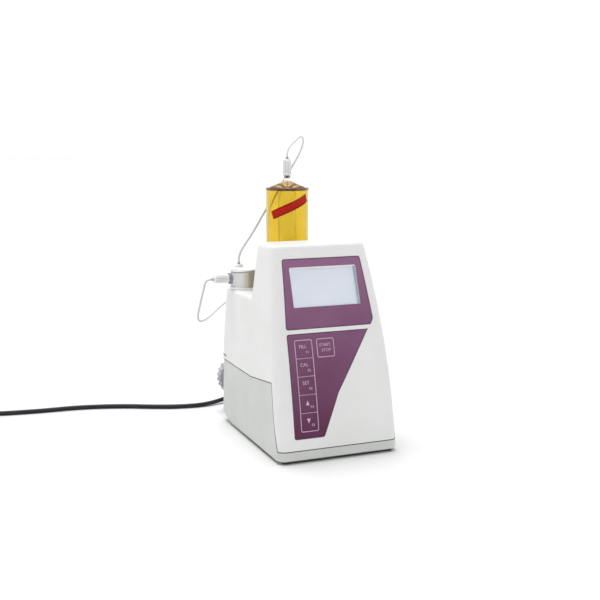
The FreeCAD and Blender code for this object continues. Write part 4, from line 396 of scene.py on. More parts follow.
def noise_node(tree, vector, scale, detail=2.0, roughness=0.5):
    """Noise on the coordinates, at a scale that is a number or another node's output."""
    node = tree.nodes.new("ShaderNodeTexNoise")
    set_inputs(node, Detail=detail, Roughness=roughness)
    tree.links.new(vector, node.inputs["Vector"])
    if isinstance(scale, (int, float)):
        node.inputs["Scale"].default_value = scale
    else:
        tree.links.new(scale, node.inputs["Scale"])
    return node.outputs["Fac"]


def range_node(tree, value, low, high, to_low=0.0, to_high=1.0):
    """A value that goes from low to high, carried over to another range."""
    node = tree.nodes.new("ShaderNodeMapRange")
    set_inputs(node, From_Min=low, From_Max=high, To_Min=to_low, To_Max=to_high)
    tree.links.new(value, node.inputs["Value"])
    return node.outputs["Result"]


def make_moulded_grain():
    """Fine spark texture of a mould as a height, and large soft patches of shade."""
    group, inside, outside = node_group("moulded_grain", [
        ("Coordinates", "NodeSocketVector", None), ("Grain Scale", "NodeSocketFloat", 2600.0),
        ("Patch Scale", "NodeSocketFloat", 28.0)], [
        ("Height", "NodeSocketFloat"), ("Patches", "NodeSocketFloat")])
    fine = noise_node(group, inside.outputs["Coordinates"], inside.outputs["Grain Scale"], 3.0, 0.6)
    broad = noise_node(group, inside.outputs["Coordinates"], inside.outputs["Patch Scale"], 4.0, 0.55)
    group.links.new(fine, outside.inputs["Height"])
    group.links.new(range_node(group, broad, 0.36, 0.64), outside.inputs["Patches"])
    return group


def make_worn_edges():
    """Where the surface turns within a radius: a mask for rubbed edges, and a normal that rounds them."""
    group, inside, outside = node_group("worn_edges", [
        ("Coordinates", "NodeSocketVector", None), ("Radius", "NodeSocketFloat", 0.0008),
        ("Amount", "NodeSocketFloat", 1.0)], [
        ("Mask", "NodeSocketFloat"), ("Normal", "NodeSocketVector")])
    bevel = group.nodes.new("ShaderNodeBevel")
    bevel.samples = 4
    group.links.new(inside.outputs["Radius"], bevel.inputs["Radius"])
    geometry = group.nodes.new("ShaderNodeNewGeometry")
    meet = group.nodes.new("ShaderNodeVectorMath")
    meet.operation = "DOT_PRODUCT"
    group.links.new(bevel.outputs["Normal"], meet.inputs[0])
    group.links.new(geometry.outputs["Normal"], meet.inputs[1])
    turned = math_node(group, "SUBTRACT", 1.0, meet.outputs["Value"])
    edge = range_node(group, turned, 0.02, 0.16)
    rubbed = range_node(group, noise_node(group, inside.outputs["Coordinates"], 190.0, 4.0, 0.6), 0.4, 0.62)
    mask = math_node(group, "MULTIPLY", math_node(group, "MULTIPLY", edge, rubbed),
                     inside.outputs["Amount"], clamp=True)
    group.links.new(mask, outside.inputs["Mask"])
    group.links.new(bevel.outputs["Normal"], outside.inputs["Normal"])
    return group


def make_settled_dust():
    """Dust where the surface looks up, broken by a speckled pattern."""
    group, inside, outside = node_group("settled_dust", [
        ("Coordinates", "NodeSocketVector", None), ("Amount", "NodeSocketFloat", 0.2),
        ("Speckle Scale", "NodeSocketFloat", 900.0)], [("Mask", "NodeSocketFloat")])
    geometry = group.nodes.new("ShaderNodeNewGeometry")
    parts = group.nodes.new("ShaderNodeSeparateXYZ")
    group.links.new(geometry.outputs["Normal"], parts.inputs[0])
    upward = range_node(group, parts.outputs["Z"], 0.35, 1.0)
    speckle = range_node(group, noise_node(group, inside.outputs["Coordinates"],
                                           inside.outputs["Speckle Scale"], 2.0), 0.5, 0.68)
    cloud = range_node(group, noise_node(group, inside.outputs["Coordinates"], 35.0, 3.0), 0.4, 0.7)
    mask = math_node(group, "MULTIPLY", math_node(group, "MULTIPLY", upward, speckle), cloud)
    group.links.new(math_node(group, "MULTIPLY", mask, inside.outputs["Amount"], clamp=True),
                    outside.inputs["Mask"])
    return group


def make_drawn_streaks():
    """Streaks along one axis, for brushed metal and drawn tubes: noise on stretched coordinates."""
    group, inside, outside = node_group("drawn_streaks", [
        ("Coordinates", "NodeSocketVector", None), ("Stretch", "NodeSocketVector", (1.0, 1.0, 0.03)),
        ("Streak Scale", "NodeSocketFloat", 1800.0)], [("Height", "NodeSocketFloat")])
    stretched = group.nodes.new("ShaderNodeVectorMath")
    stretched.operation = "MULTIPLY"
    group.links.new(inside.outputs["Coordinates"], stretched.inputs[0])
    group.links.new(inside.outputs["Stretch"], stretched.inputs[1])
    lines = noise_node(group, stretched.outputs["Vector"], inside.outputs["Streak Scale"], 3.0, 0.6)
    group.links.new(lines, outside.inputs["Height"])
    return group


GRAIN = make_moulded_grain()
EDGES = make_worn_edges()
DUST = make_settled_dust()
STREAKS = make_drawn_streaks()


# Materials

DUST_COLOUR = (0.62, 0.6, 0.56)


class Finish:
    """A material in the making: its tree, its shader and its object coordinates."""

    def __init__(self, name, roughness, metallic=0.0, ior=1.5):
        self.material = bpy.data.materials.new(name)
        self.material.use_nodes = True
        self.tree = self.material.node_tree
        self.tree.nodes.clear()
        self.shader = self.tree.nodes.new("ShaderNodeBsdfPrincipled")
        set_inputs(self.shader, Roughness=roughness, Metallic=metallic, IOR=ior)
        output = self.tree.nodes.new("ShaderNodeOutputMaterial")
        self.tree.links.new(self.shader.outputs["BSDF"], output.inputs["Surface"])
        self.coordinates = self.tree.nodes.new("ShaderNodeTexCoord").outputs["Object"]

    def place(self, group, **values):
        """Put a shader group in the material with its own values."""
        node = self.tree.nodes.new("ShaderNodeGroup")
        node.node_tree = group
        self.tree.links.new(self.coordinates, node.inputs["Coordinates"])
        set_inputs(node, **values)
        return node

    def mix(self, factor, first, second):
        """The first colour where the factor is 0 and the second where it is 1."""
        node = self.tree.nodes.new("ShaderNodeMix")
        node.data_type = "RGBA"
        for socket, value in ((node.inputs[0], factor), (node.inputs[6], first), (node.inputs[7], second)):
            if isinstance(value, tuple):
                socket.default_value = (*value, 1.0)
            else:
                self.tree.links.new(value, socket)
        return node.outputs[2]

    def between(self, way, low, high, soft=0.05):
        """1 between two places along a direction of the front frame and 0 elsewhere, with soft ends. All are
        in millimetres."""
        along = self.tree.nodes.new("ShaderNodeVectorMath")
        along.operation = "DOT_PRODUCT"
        along.inputs[1].default_value = way
        self.tree.links.new(self.coordinates, along.inputs[0])
        shift = float(np.dot(ORIGIN, way))
        place = along.outputs["Value"]
        rising = range_node(self.tree, place, (low - shift - soft) * MILLIMETRE,
                            (low - shift + soft) * MILLIMETRE)
        falling = range_node(self.tree, place, (high - shift - soft) * MILLIMETRE,
                             (high - shift + soft) * MILLIMETRE, 1.0, 0.0)
        return math_node(self.tree, "MULTIPLY", rising, falling)

    def layer(self, base, zones):
        """The base colour with other colours between two places along a direction."""
        for way, low, high, soft, colour in zones:
            base = self.mix(self.between(way, low, high, soft), base, colour)
        return base

    def bump(self, height, strength, distance, edges=None):
        """Raise the surface by a height, over the edges' rounded normal where edges are given."""
        node = self.tree.nodes.new("ShaderNodeBump")
        set_inputs(node, Strength=strength, Distance=distance)
        self.tree.links.new(height, node.inputs["Height"])
        if edges is not None:
            self.tree.links.new(edges.outputs["Normal"], node.inputs["Normal"])
        self.feed("Normal", node.outputs["Normal"])

    def rough(self, value, low, high, first=0.0, last=1.0):
        """Roughness from low to high where the value goes from first to last."""
        self.feed("Roughness", range_node(self.tree, value, first, last, low, high))

    def feed(self, label, value):
        """Link a value to one of the shader's inputs."""
        self.tree.links.new(value, self.shader.inputs[label])


def moulded(name, colour, patch, roughness, grain=2600.0, edge_radius=0.0007, edge_colour=None,
            edge_amount=0.5, dust=0.15, gloss=0.5, zones=()):
    """Moulded plastic or rubber: soft patches of shade, spark texture, rubbed edges and a little dust.
    Each zone gives another colour between two places along a direction."""
    finish = Finish(name, roughness)
    grain_node = finish.place(GRAIN, Grain_Scale=grain, Patch_Scale=28.0)
    edge_node = finish.place(EDGES, Radius=edge_radius, Amount=edge_amount)
    dust_node = finish.place(DUST, Amount=dust)
    patches = grain_node.outputs["Patches"]
    surface = finish.layer(finish.mix(patches, colour, patch), zones)
    surface = finish.mix(edge_node.outputs["Mask"], surface, edge_colour or patch)
    surface = finish.mix(dust_node.outputs["Mask"], surface, DUST_COLOUR)
    finish.feed("Base Color", surface)
    finish.rough(patches, roughness - 0.05, roughness + 0.06)
    finish.bump(grain_node.outputs["Height"], 0.35, 0.00003, edge_node)
    finish.shader.inputs["Specular IOR Level"].default_value = gloss
    return finish


def worked_metal(name, colour, patch, roughness, stretch=(1.0, 1.0, 0.04)):
    """Turned or drawn metal with streaks, patches of tarnish and brighter edges."""
    finish = Finish(name, roughness, metallic=1.0)
    streak_node = finish.place(STREAKS, Stretch=stretch)
    grain_node = finish.place(GRAIN, Grain_Scale=3000.0, Patch_Scale=60.0)
    edge_node = finish.place(EDGES, Radius=0.0004, Amount=0.8)
    surface = finish.mix(grain_node.outputs["Patches"], colour, patch)
    bright = tuple(min(1.0, 1.25 * part) for part in colour)
    finish.feed("Base Color", finish.mix(edge_node.outputs["Mask"], surface, bright))
    finish.rough(streak_node.outputs["Height"], roughness - 0.08, roughness + 0.1, 0.3, 0.7)
    finish.bump(streak_node.outputs["Height"], 0.3, 0.00002, edge_node)
    return finish


def clear_body(name, colour, patch, roughness, ior=1.5, zones=(), rim=None):
    """Glass or clear plastic with a faint waviness and a slightly uneven tint, deeper where the wall is
    seen edge on. Each zone gives another tint between two places along a direction."""
    finish = Finish(name, roughness, ior=ior)
    finish.shader.inputs["Transmission Weight"].default_value = 1.0
    grain_node = finish.place(GRAIN, Grain_Scale=140.0, Patch_Scale=40.0)
    patches = grain_node.outputs["Patches"]
    tint = finish.layer(finish.mix(patches, colour, patch), zones)
    if rim is not None:
        edge = finish.tree.nodes.new("ShaderNodeLayerWeight")
        edge.inputs["Blend"].default_value = 0.5
        turned = range_node(finish.tree, edge.outputs["Facing"], 0.56, 0.84)
        tint = finish.mix(turned, tint, rim)
    finish.feed("Base Color", tint)
    finish.rough(patches, roughness, roughness + 0.03)
    finish.bump(grain_node.outputs["Height"], 0.15, 0.00001)
    return finish


def nut_plastic_groove_shade():
    """White plastic with painted shade in the grooves between the ribs, from the nut's own groove attribute.
    """
    finish = Finish("nut_plastic_groove_shade", 0.42)
    groove = finish.tree.nodes.new("ShaderNodeAttribute")
    groove.attribute_name = "groove"
    grain_node = finish.place(GRAIN, Grain_Scale=2600.0, Patch_Scale=120.0)
    edge_node = finish.place(EDGES, Radius=0.0003, Amount=0.4)
    patches = grain_node.outputs["Patches"]
    surface = finish.mix(patches, (0.9, 0.9, 0.89), (0.86, 0.86, 0.85))
    # Painted shade: greyer where the groove attribute marks the grooves
    surface = finish.mix(groove.outputs["Fac"], surface, (0.45, 0.46, 0.46))
    finish.feed("Base Color", finish.mix(edge_node.outputs["Mask"], surface, (0.9, 0.9, 0.89)))
    finish.rough(patches, 0.38, 0.48)
    finish.bump(grain_node.outputs["Height"], 0.3, 0.00002, edge_node)
    return finish


def circuit_board():
    """Green solder mask with lighter copper runs showing through, from a grid of bricks."""
    finish = Finish("board", 0.35)
    tree = finish.tree
    bricks = tree.nodes.new("ShaderNodeTexBrick")
    set_inputs(bricks, Scale=120.0, Mortar_Size=0.03, Color1=(0.012, 0.12, 0.04, 1.0),
               Color2=(0.018, 0.16, 0.055, 1.0), Mortar=(0.06, 0.3, 0.11, 1.0))
    tree.links.new(finish.coordinates, bricks.inputs["Vector"])
    edge_node = finish.place(EDGES, Radius=0.0003, Amount=0.4)
    grain_node = finish.place(GRAIN, Grain_Scale=1500.0)
    surface = finish.mix(edge_node.outputs["Mask"], bricks.outputs["Color"], (0.3, 0.28, 0.1))
    finish.feed("Base Color", surface)
    finish.rough(grain_node.outputs["Patches"], 0.3, 0.42)
    finish.bump(bricks.outputs["Fac"], 0.3, 0.00004, edge_node)
    return finish


def display_face():
    """Grey-blue display with its fine grid of picture points, a soft unevenness, a band of painted shadow
    along its right edge and an emission that is painted light.
    """
    finish = Finish("display", 0.22)
    tree = finish.tree
    points = tree.nodes.new("ShaderNodeTexBrick")
    points.offset = 0.0
    set_inputs(points, Scale=1000.0, Brick_Width=0.55, Row_Height=0.55, Mortar_Size=0.035,
               Color1=(0.8, 0.85, 0.93, 1.0), Color2=(0.82, 0.87, 0.94, 1.0), Mortar=(0.85, 0.89, 0.95, 1.0))
    turned = tree.nodes.new("ShaderNodeMapping")
    turned.inputs["Rotation"].default_value = (math.radians(-72.0), 0.0, 0.0)
    tree.links.new(finish.coordinates, turned.inputs["Vector"])
    tree.links.new(turned.outputs["Vector"], points.inputs["Vector"])
    grain_node = finish.place(GRAIN, Grain_Scale=1500.0, Patch_Scale=22.0)
    shade = finish.mix(grain_node.outputs["Patches"], points.outputs["Color"], (0.85, 0.86, 0.93))
    # Painted shadow of the window's right wall along the display's right edge
    shade = finish.layer(shade, [(ALONG_X, 35.4, 60.0, 0.4, (0.52, 0.58, 0.62))])
    finish.feed("Base Color", shade)
    # The emission is painted light: it makes the display glow brighter
    finish.feed("Emission Color", shade)
    finish.shader.inputs["Emission Strength"].default_value = 0.36
    finish.rough(grain_node.outputs["Patches"], 0.18, 0.28)
    finish.bump(points.outputs["Fac"], 0.1, 0.00002)
    return finish


def printed_foil(name, top, foot):
    """Back-printed purple film under a fine satin emboss: its colour grows darker down the panel, partly the
    print's own tone and partly painted shade towards the foot, which leans less towards the overhead light.
    """
    finish = Finish(name, 0.34, ior=1.4)
    finish.shader.inputs["Specular IOR Level"].default_value = 0.25
    tree = finish.tree
    parts = tree.nodes.new("ShaderNodeSeparateXYZ")
    tree.links.new(finish.coordinates, parts.inputs[0])
    share = range_node(tree, parts.outputs["Z"], 0.02, 0.205)
    grain_node = finish.place(GRAIN, Grain_Scale=3800.0, Patch_Scale=24.0)
    patches = math_node(tree, "MULTIPLY", grain_node.outputs["Patches"], 0.12)
    shade = finish.mix(math_node(tree, "ADD", share, patches, clamp=True), foot, top)
    edge_node = finish.place(EDGES, Radius=0.0003, Amount=0.5)
    finish.feed("Base Color", finish.mix(edge_node.outputs["Mask"], shade, (0.5, 0.36, 0.46)))
    finish.rough(grain_node.outputs["Patches"], 0.3, 0.4)
    finish.bump(grain_node.outputs["Height"], 0.25, 0.00002, edge_node)
    return finish


# The top and foot colours differ partly in the print's own tone and partly as painted shade towards the foot
FOIL_TOP = (0.26, 0.125, 0.228)
FOIL_FOOT = (0.085, 0.01, 0.05)
DRUM_SLANT = (-0.13, 0.0, 1.0)
# Painted highlight that keeps the drum's top white though the tower and jacket shade it
DRUM_TOP_HIGHLIGHT = (0.88, 0.88, 0.87)
HEAD_ZONES = [
    (ALONG_Z, 266.0, 271.4, 0.3, (0.13, 0.05, 0.012)),
    (ALONG_Z, 277.6, 281.9, 0.4, (0.97, 0.97, 0.95)),
    (ALONG_Z, 281.9, 300.0, 0.2, (0.2, 0.19, 0.17)),
]
# On the valve drum: the beige band and the darker olive band on its right are a painted reflection of the
# amber jacket. The dark slanted line is painted shade under the top's edge. The white above that line and on
# the top is a painted highlight. The last zone gives the port boss its dark lilac.
DRUM_BOSS_AND_PAINTED_LIGHT_ZONES = [
    (ALONG_X, -50.0, -30.0, 2.5, (0.52, 0.49, 0.4)),
    (ALONG_X, -45.6, -35.0, 1.2, (0.32, 0.29, 0.2)),
    (DRUM_SLANT, 182.9, 184.4, 0.4, (0.3, 0.28, 0.28)),
    (DRUM_SLANT, 184.4, 210.0, 0.3, DRUM_TOP_HIGHLIGHT),
    (ALONG_Z, 180.6, 190.0, 0.05, DRUM_TOP_HIGHLIGHT),
    (ALONG_X, -70.0, -59.9, 0.1, (0.24, 0.24, 0.29)),
]
MATERIALS = {
    "housing_white": moulded("housing_white", (0.755, 0.755, 0.751), (0.735, 0.735, 0.73), 0.42,
                             edge_colour=(0.92, 0.92, 0.91), dust=0.08),
    "tub_grey": moulded("tub_grey", (0.585, 0.6, 0.58), (0.565, 0.58, 0.56), 0.48,
                        edge_colour=(0.74, 0.75, 0.73), dust=0.08),
    "rubber": moulded("rubber", (0.02, 0.02, 0.021), (0.035, 0.034, 0.033), 0.75, grain=1400.0,
                      edge_colour=(0.07, 0.068, 0.065)),
    "steel": worked_metal("steel", (0.56, 0.56, 0.55), (0.47, 0.46, 0.45), 0.3),
    "foil": printed_foil("foil", FOIL_TOP, FOIL_FOOT),
    "window": clear_body("window", (0.97, 0.98, 0.99), (0.95, 0.965, 0.98), 0.02),
    "display": display_face(),
    "keys": printed_foil("keys", FOIL_TOP, FOIL_FOOT),
    "board": circuit_board(),
    "sheet_metal": worked_metal("sheet_metal", (0.7, 0.7, 0.71), (0.6, 0.6, 0.61), 0.38,
                                stretch=(0.03, 1.0, 1.0)),
    "gear": moulded("gear", (0.72, 0.68, 0.55), (0.66, 0.62, 0.5), 0.4, edge_colour=(0.8, 0.77, 0.66)),
    "motor": moulded("motor", (0.03, 0.03, 0.032), (0.045, 0.045, 0.047), 0.5,
                     edge_colour=(0.18, 0.18, 0.18)),
    "ptfe": moulded("ptfe", (0.88, 0.88, 0.86), (0.82, 0.82, 0.8), 0.5, edge_colour=(0.92, 0.92, 0.9)),
    "clear_glass": clear_body("clear_glass", (0.97, 0.98, 0.98), (0.95, 0.97, 0.97), 0.01, ior=1.47,
                              rim=(0.25, 0.24, 0.16)),
    "amber": clear_body("amber", (0.87, 0.7, 0.04), (0.84, 0.66, 0.03), 0.03, ior=1.49,
                        rim=(0.3, 0.16, 0.01)),
    "nut_white": moulded("nut_white", (0.86, 0.86, 0.85), (0.8, 0.8, 0.79), 0.45,
                         edge_colour=(0.93, 0.93, 0.92), edge_radius=0.0003),
    "valve_grey": moulded("valve_grey", (0.6, 0.61, 0.59), (0.56, 0.57, 0.55), 0.4,
                          edge_colour=(0.7, 0.7, 0.69)),
    "ferrule_dark": moulded("ferrule_dark", (0.4, 0.4, 0.39), (0.46, 0.46, 0.45), 0.4,
                            edge_colour=(0.6, 0.6, 0.59), edge_radius=0.0002),
    "knob_grey": moulded("knob_grey", (0.42, 0.41, 0.47), (0.38, 0.37, 0.43), 0.45,
                         edge_colour=(0.55, 0.54, 0.59)),
    "black_plastic": moulded("black_plastic", (0.018, 0.018, 0.019), (0.028, 0.028, 0.029), 0.42,
                             edge_colour=(0.09, 0.09, 0.09)),
    "lead_black": moulded("lead_black", (0.012, 0.013, 0.018), (0.02, 0.021, 0.028), 0.42, grain=1800.0,
                          edge_amount=0.0, dust=0.03, gloss=0.25),
    "brass": worked_metal("brass", (0.72, 0.66, 0.5), (0.6, 0.55, 0.42), 0.25, stretch=(0.05, 1.0, 1.0)),
    "hose": moulded("hose", (0.72, 0.69, 0.7), (0.67, 0.64, 0.65), 0.4, edge_amount=0.0, dust=0.0),
}
MATERIALS = {slot: finish.material for slot, finish in MATERIALS.items()}
HEAD_GLASS = clear_body("head_glass", (0.7, 0.46, 0.19), (0.66, 0.42, 0.16), 0.03, ior=1.49,
                        zones=HEAD_ZONES, rim=(0.4, 0.22, 0.06)).material
# The drum's plastic carries the painted reflection, shade and highlight zones above
DRUM_PLASTIC_PAINTED_LIGHT = moulded("drum_plastic_painted_light", (0.7, 0.71, 0.69), (0.66, 0.67, 0.65), 0.36,
                       edge_colour=(0.74, 0.74, 0.73), zones=DRUM_BOSS_AND_PAINTED_LIGHT_ZONES).material
SEAT_PLASTIC = moulded("seat_plastic", (0.84, 0.84, 0.83), (0.8, 0.8, 0.79), 0.45,
                       edge_colour=(0.88, 0.88, 0.87)).material
NODE_MATERIALS = {"cylinder_head": HEAD_GLASS, "valve_housing": DRUM_PLASTIC_PAINTED_LIGHT, "valve_seat": SEAT_PLASTIC}
PRINT_PINK = moulded("print_pink", (0.7, 0.5, 0.63), (0.63, 0.44, 0.56), 0.4, edge_amount=0.0).material
PRINT_DARK = moulded("print_dark", (0.07, 0.025, 0.052), (0.055, 0.018, 0.04), 0.4, edge_amount=0.0).material
# Grey-blue painted shade for the display window's inner walls
LINER_PAINTED_SHADE = moulded("liner_painted_shade", (0.66, 0.72, 0.76), (0.62, 0.68, 0.72), 0.45, edge_amount=0.0).material
# Painted highlight of the display window's lit top edge
WINDOW_EDGE_HIGHLIGHT = moulded("window_edge_highlight", (0.86, 0.82, 0.85), (0.8, 0.76, 0.79), 0.4, edge_amount=0.0).material
NUT_PLASTIC_GROOVE_SHADE = nut_plastic_groove_shade().material
BAND_RED = moulded("band_red", (0.46, 0.012, 0.004), (0.4, 0.01, 0.004), 0.45,
                   edge_colour=(0.5, 0.05, 0.04), edge_radius=0.0003, gloss=0.12).material

for part in frame["record"]["subparts"]:
    node = frame["nodes"][part["node"]]
    for place in node.material_slots:
        place.material = NODE_MATERIALS.get(part["node"], MATERIALS[part["material_slot"]])
for cord in (mains_lead, head_hose, loop_hose):
    cord.data.materials.append(MATERIALS[cord["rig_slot"]])


# Dark line in the joint of the two shells: painted shade of the gap between them

def side_at(height):
    """Half width of the housing: it bows in by a large radius above its foot."""
    rise = np.asarray(height) - FOOT_HEIGHT
    return HALF_WIDTH - SIDE_RADIUS + np.sqrt(SIDE_RADIUS ** 2 - rise ** 2)


def joint_path():
    """The left half of the joint, front middle to rear: straight across the front, round the corner by
    x = half width - radius + radius * sine and depth = radius - radius * cosine, then up and back along
    the corners of the parting line. The second array is its outward way."""
    radius = CORNER_RADIUS
    half = side_at(SEAM_HEIGHT)
    across = np.linspace(0, half - radius, 30)[:-1]
    low_turn = math.acos(1 - PARTING[0][0] / radius)
    turn = np.linspace(0, low_turn, 12)
    front = np.stack([across, np.zeros_like(across), np.full_like(across, SEAM_HEIGHT)], axis=1)
    corner = np.stack([half - radius + radius * np.sin(turn), radius - radius * np.cos(turn),
                       np.full_like(turn, SEAM_HEIGHT)], axis=1)
    runs = []
    for start, end in zip(PARTING[:-1], PARTING[1:]):
        share = np.linspace(0, 1, 33)[1:, None]
        runs.append(np.array(start) * (1 - share) + np.array(end) * share)
    runs = np.concatenate(runs)
    behind = runs[:, 0] - face_point(0.0, along_at(runs[:, 1]), 0.0)[:, 1]
    bent = np.clip(radius - behind, 0, radius)
    side = np.stack([side_at(runs[:, 1]) - radius + np.sqrt(radius ** 2 - bent ** 2), runs[:, 0],
                     runs[:, 1]], axis=1)
    path = np.concatenate([front, corner, side])
    bend = np.concatenate([np.zeros(len(front)), turn, np.arccos(bent / radius)])
    out = np.stack([np.sin(bend), -np.cos(bend), np.zeros_like(bend)], axis=1)
    return path, out


def joint_line(sign):
    """A thin dark strip over the joint, painted shade of the gap, on the left where the sign is -1 and on
    the right where it is 1.
    """
    path, out = joint_path()
    mirror = np.array([sign, 1.0, 1.0])
    path, out = path * mirror, out * mirror
    side = unit(np.cross(np.gradient(path, axis=0), out))
    half = SEAM_WIDTH / 2
    section = [(-half, -SEAM_PROUD), (half, -SEAM_PROUD), (half, SEAM_PROUD), (-half, SEAM_PROUD)]
    return swept(path, side, out, section, False)


# Painted shade: near-black strips over the joint of the shells
for label, sign in (("joint_shade_left", -1.0), ("joint_shade_right", 1.0)):
    mesh_piece(label, *joint_line(sign), MATERIALS["rubber"], "housing", "rubber")


# Prints on the panel, and a painted highlight along the display window's top edge

def foil_border(name, corners):
    """The dark line along a foil's edge."""
    heights = [(x, height_at(along)) for x, along in corners]
    loop = rounded_loop(heights, FOIL_ROUND, BORDER_INSET)
    points, faces = printed_loop(loop[:, 0], along_at(loop[:, 1]), BORDER_WIDTH)
    return mesh_piece(name, points, faces, PRINT_DARK, "housing", "foil")


def key_frame(name, middle, rows):
    """The outline round a column of keys, with a rung on each rib."""
    half = KEY_EDGE + KEY_LINE / 2
    top = KEY_TOP - KEY_PITCH / 2 + half
    foot = KEY_TOP - KEY_PITCH * (rows - 0.5) - half
    corners = [(middle - half, foot), (middle + half, foot), (middle + half, top), (middle - half, top)]
    loop = rounded_loop(corners, 1.6, 0.0)
    parts = [printed_loop(loop[:, 0], loop[:, 1], KEY_LINE)]
    for i in range(1, rows):
        along = KEY_TOP - KEY_PITCH * i
        parts.append(printed_bar(middle - KEY_EDGE, middle + KEY_EDGE, along, KEY_RIB - 0.04))
    points, faces = joined(parts)
    return mesh_piece(name, points, faces, PRINT_PINK, "housing", "foil")


def lettering(text, size):
    """The points and faces of a short text, centred, in the XY plane."""
    curve = bpy.data.curves.new("lettering", "FONT")
    curve.body = text
    curve.size = size
    curve.align_x = "CENTER"
    curve.align_y = "CENTER"
    curve.extrude = PRINT_THICKNESS / 2
    curve.resolution_u = 3
    holder = placed("lettering", curve)
    mesh = bpy.data.meshes.new_from_object(holder.evaluated_get(bpy.context.evaluated_depsgraph_get()))
    points = np.zeros(len(mesh.vertices) * 3)
    mesh.vertices.foreach_get("co", points)
    faces = [list(face.vertices) for face in mesh.polygons]
    bpy.data.objects.remove(holder)
    bpy.data.curves.remove(curve)
    bpy.data.meshes.remove(mesh)
    return points.reshape(-1, 3), faces


def arrow(way, width, height):
    """A solid triangle that points up or down, centred, in the XY plane."""
    half, low, high = width / 2, -height / 2 * way, height / 2 * way
    flat = np.array([(-half, low), (half, low), (0.0, high)])
    if way < 0:
        flat = flat[::-1]
    thick = PRINT_THICKNESS / 2
    points = np.concatenate([np.c_[flat, np.full(3, -thick)], np.c_[flat, np.full(3, thick)]])
    return points, PRISM_FACES


def on_key(mark, middle, along, across, up):
    """Lay a flat mark on a key's plane cap: point = middle + across * X + up * face direction + out."""
    points, faces = mark
    place = face_point(middle, along, -FOIL_SET)
    rise = points[:, 1:2] + up
    proud = points[:, 2:3] + PRINT_THICKNESS / 2
    laid = place + rise * face_up(along) + proud * face_out(along)
    laid[:, 0] += points[:, 0] + across
    return laid, faces


def key_marks(name, middle, row, marks):
    """All marks of one key as one piece that rides on the key."""
    along = KEY_TOP - KEY_PITCH * (row + 0.5)
    laid = [on_key(mark, middle, along, across, up) for mark, across, up in marks]
    points, faces = joined(laid)
    return mesh_piece(name + "_marks", points, faces, PRINT_PINK, name, "keys")


TIP_CORNERS = np.array([(38.0, 118.8), (40.15, 114.9), (43.1, 119.1)])
TIP_LEVELS = (-0.02, 0.05)
# Left end, right end, place up the face and width of the white line over the window's top edge, a painted
# highlight of that lit edge
WINDOW_LINE = (-37.5, 36.6, 187.2, 1.3)


def keypad_tip():
    """The pointed upper corner of the keypad foil: three points on the face with a small thickness."""
    x, along = TIP_CORNERS.T
    return np.concatenate([face_point(x, along, np.full(3, proud)) for proud in TIP_LEVELS]), PRISM_FACES


mesh_piece("keypad_tip", *keypad_tip(), MATERIALS["foil"], "housing", "foil")
foil_border("display_border", DISPLAY_CORNERS)
foil_border("keypad_border", KEYPAD_CORNERS)
mesh_piece("window_line", *printed_bar(*WINDOW_LINE), WINDOW_EDGE_HIGHLIGHT, "housing", "foil")
key_frame("key_column_frame", COLUMN_MIDDLE, 5)
key_frame("start_key_frame", START_MIDDLE, 1)

WORD_SIZE = 4.9
START_SIZE = 4.4
SMALL_SIZE = 3.8
ARROW_SIZE = (3.7, 4.9)
WORD_PLACE = (-1.0, 2.6)
ARROW_PLACE = (-0.8, 1.2)
NUMBER_PLACE = (3.9, -3.4)
for row, (key, word, number) in enumerate([("key_fill", "FILL", "F1"), ("key_cal", "CAL", "F2"),
                                           ("key_set", "SET", "F3")]):
    key_marks(key, COLUMN_MIDDLE, row, [(lettering(word, WORD_SIZE), *WORD_PLACE),
                                        (lettering(number, SMALL_SIZE), *NUMBER_PLACE)])
for row, key, way, number in ((3, "key_up", 1, "F4"), (4, "key_down", -1, "F5")):
    key_marks(key, COLUMN_MIDDLE, row, [(arrow(way, *ARROW_SIZE), *ARROW_PLACE),
                                        (lettering(number, SMALL_SIZE), *NUMBER_PLACE)])
key_marks("key_start_stop", START_MIDDLE, 0, [(lettering("START", START_SIZE), -0.6, 2.8),
                                              (lettering("STOP", START_SIZE), 0.4, -2.6)])


# Liner of the display window, grey-blue as painted shade of its walls, and shadow plate in the side slot

WINDOW_MIDDLE = 166.5
WINDOW_CORNERS = [(-37.8, -20.8), (37.8, -20.8), (37.8, 20.8), (-37.8, 20.8)]
LINER_INSET = 0.14
LINER_HALF = 0.12
LINER_DEEP = -2.8
LINER_TOP = -0.42
SLOT_DEPTHS = np.linspace(173.3, 183.7, 6)
SLOT_HEIGHTS = np.linspace(77.3, 78.9, 3)
SLOT_INWARD = (1.36, 1.16)


def window_liner():
    """A thin sleeve in the window, square to the face at its middle: a low section swept round the
    window's outline. Its grey-blue is painted shade of the window's inner walls."""
    loop = rounded_loop(WINDOW_CORNERS, 1.0, LINER_INSET)
    middle = face_point(0.0, WINDOW_MIDDLE, 0.0)
    out, up = face_out(WINDOW_MIDDLE), face_up(WINDOW_MIDDLE)
    path = middle + loop[:, :1] * np.array(ALONG_X) + loop[:, 1:] * up
    outs = np.broadcast_to(out, path.shape)
    section = [(-LINER_HALF, LINER_DEEP), (LINER_HALF, LINER_DEEP), (LINER_HALF, LINER_TOP),
               (-LINER_HALF, LINER_TOP)]
    return swept(path, loop_sides(path, outs), outs, section, True)


def slot_shadow_plate():
    """A dark plate on the floor of the side slot, as painted shadow in the slot."""
    depth, height = np.meshgrid(SLOT_DEPTHS, SLOT_HEIGHTS, indexing="ij")
    return slab([np.stack([-side_at(height) + inward, depth, height], axis=-1) for inward in SLOT_INWARD])


mesh_piece("window_liner", *window_liner(), LINER_PAINTED_SHADE, "housing", "display")
# Painted shadow in the side slot
mesh_piece("slot_shadow_plate", *slot_shadow_plate(), MATERIALS["rubber"], "housing", "rubber")


# Dark plate between the feet, with a strip along the front edge: painted shadow in the gap under the tub

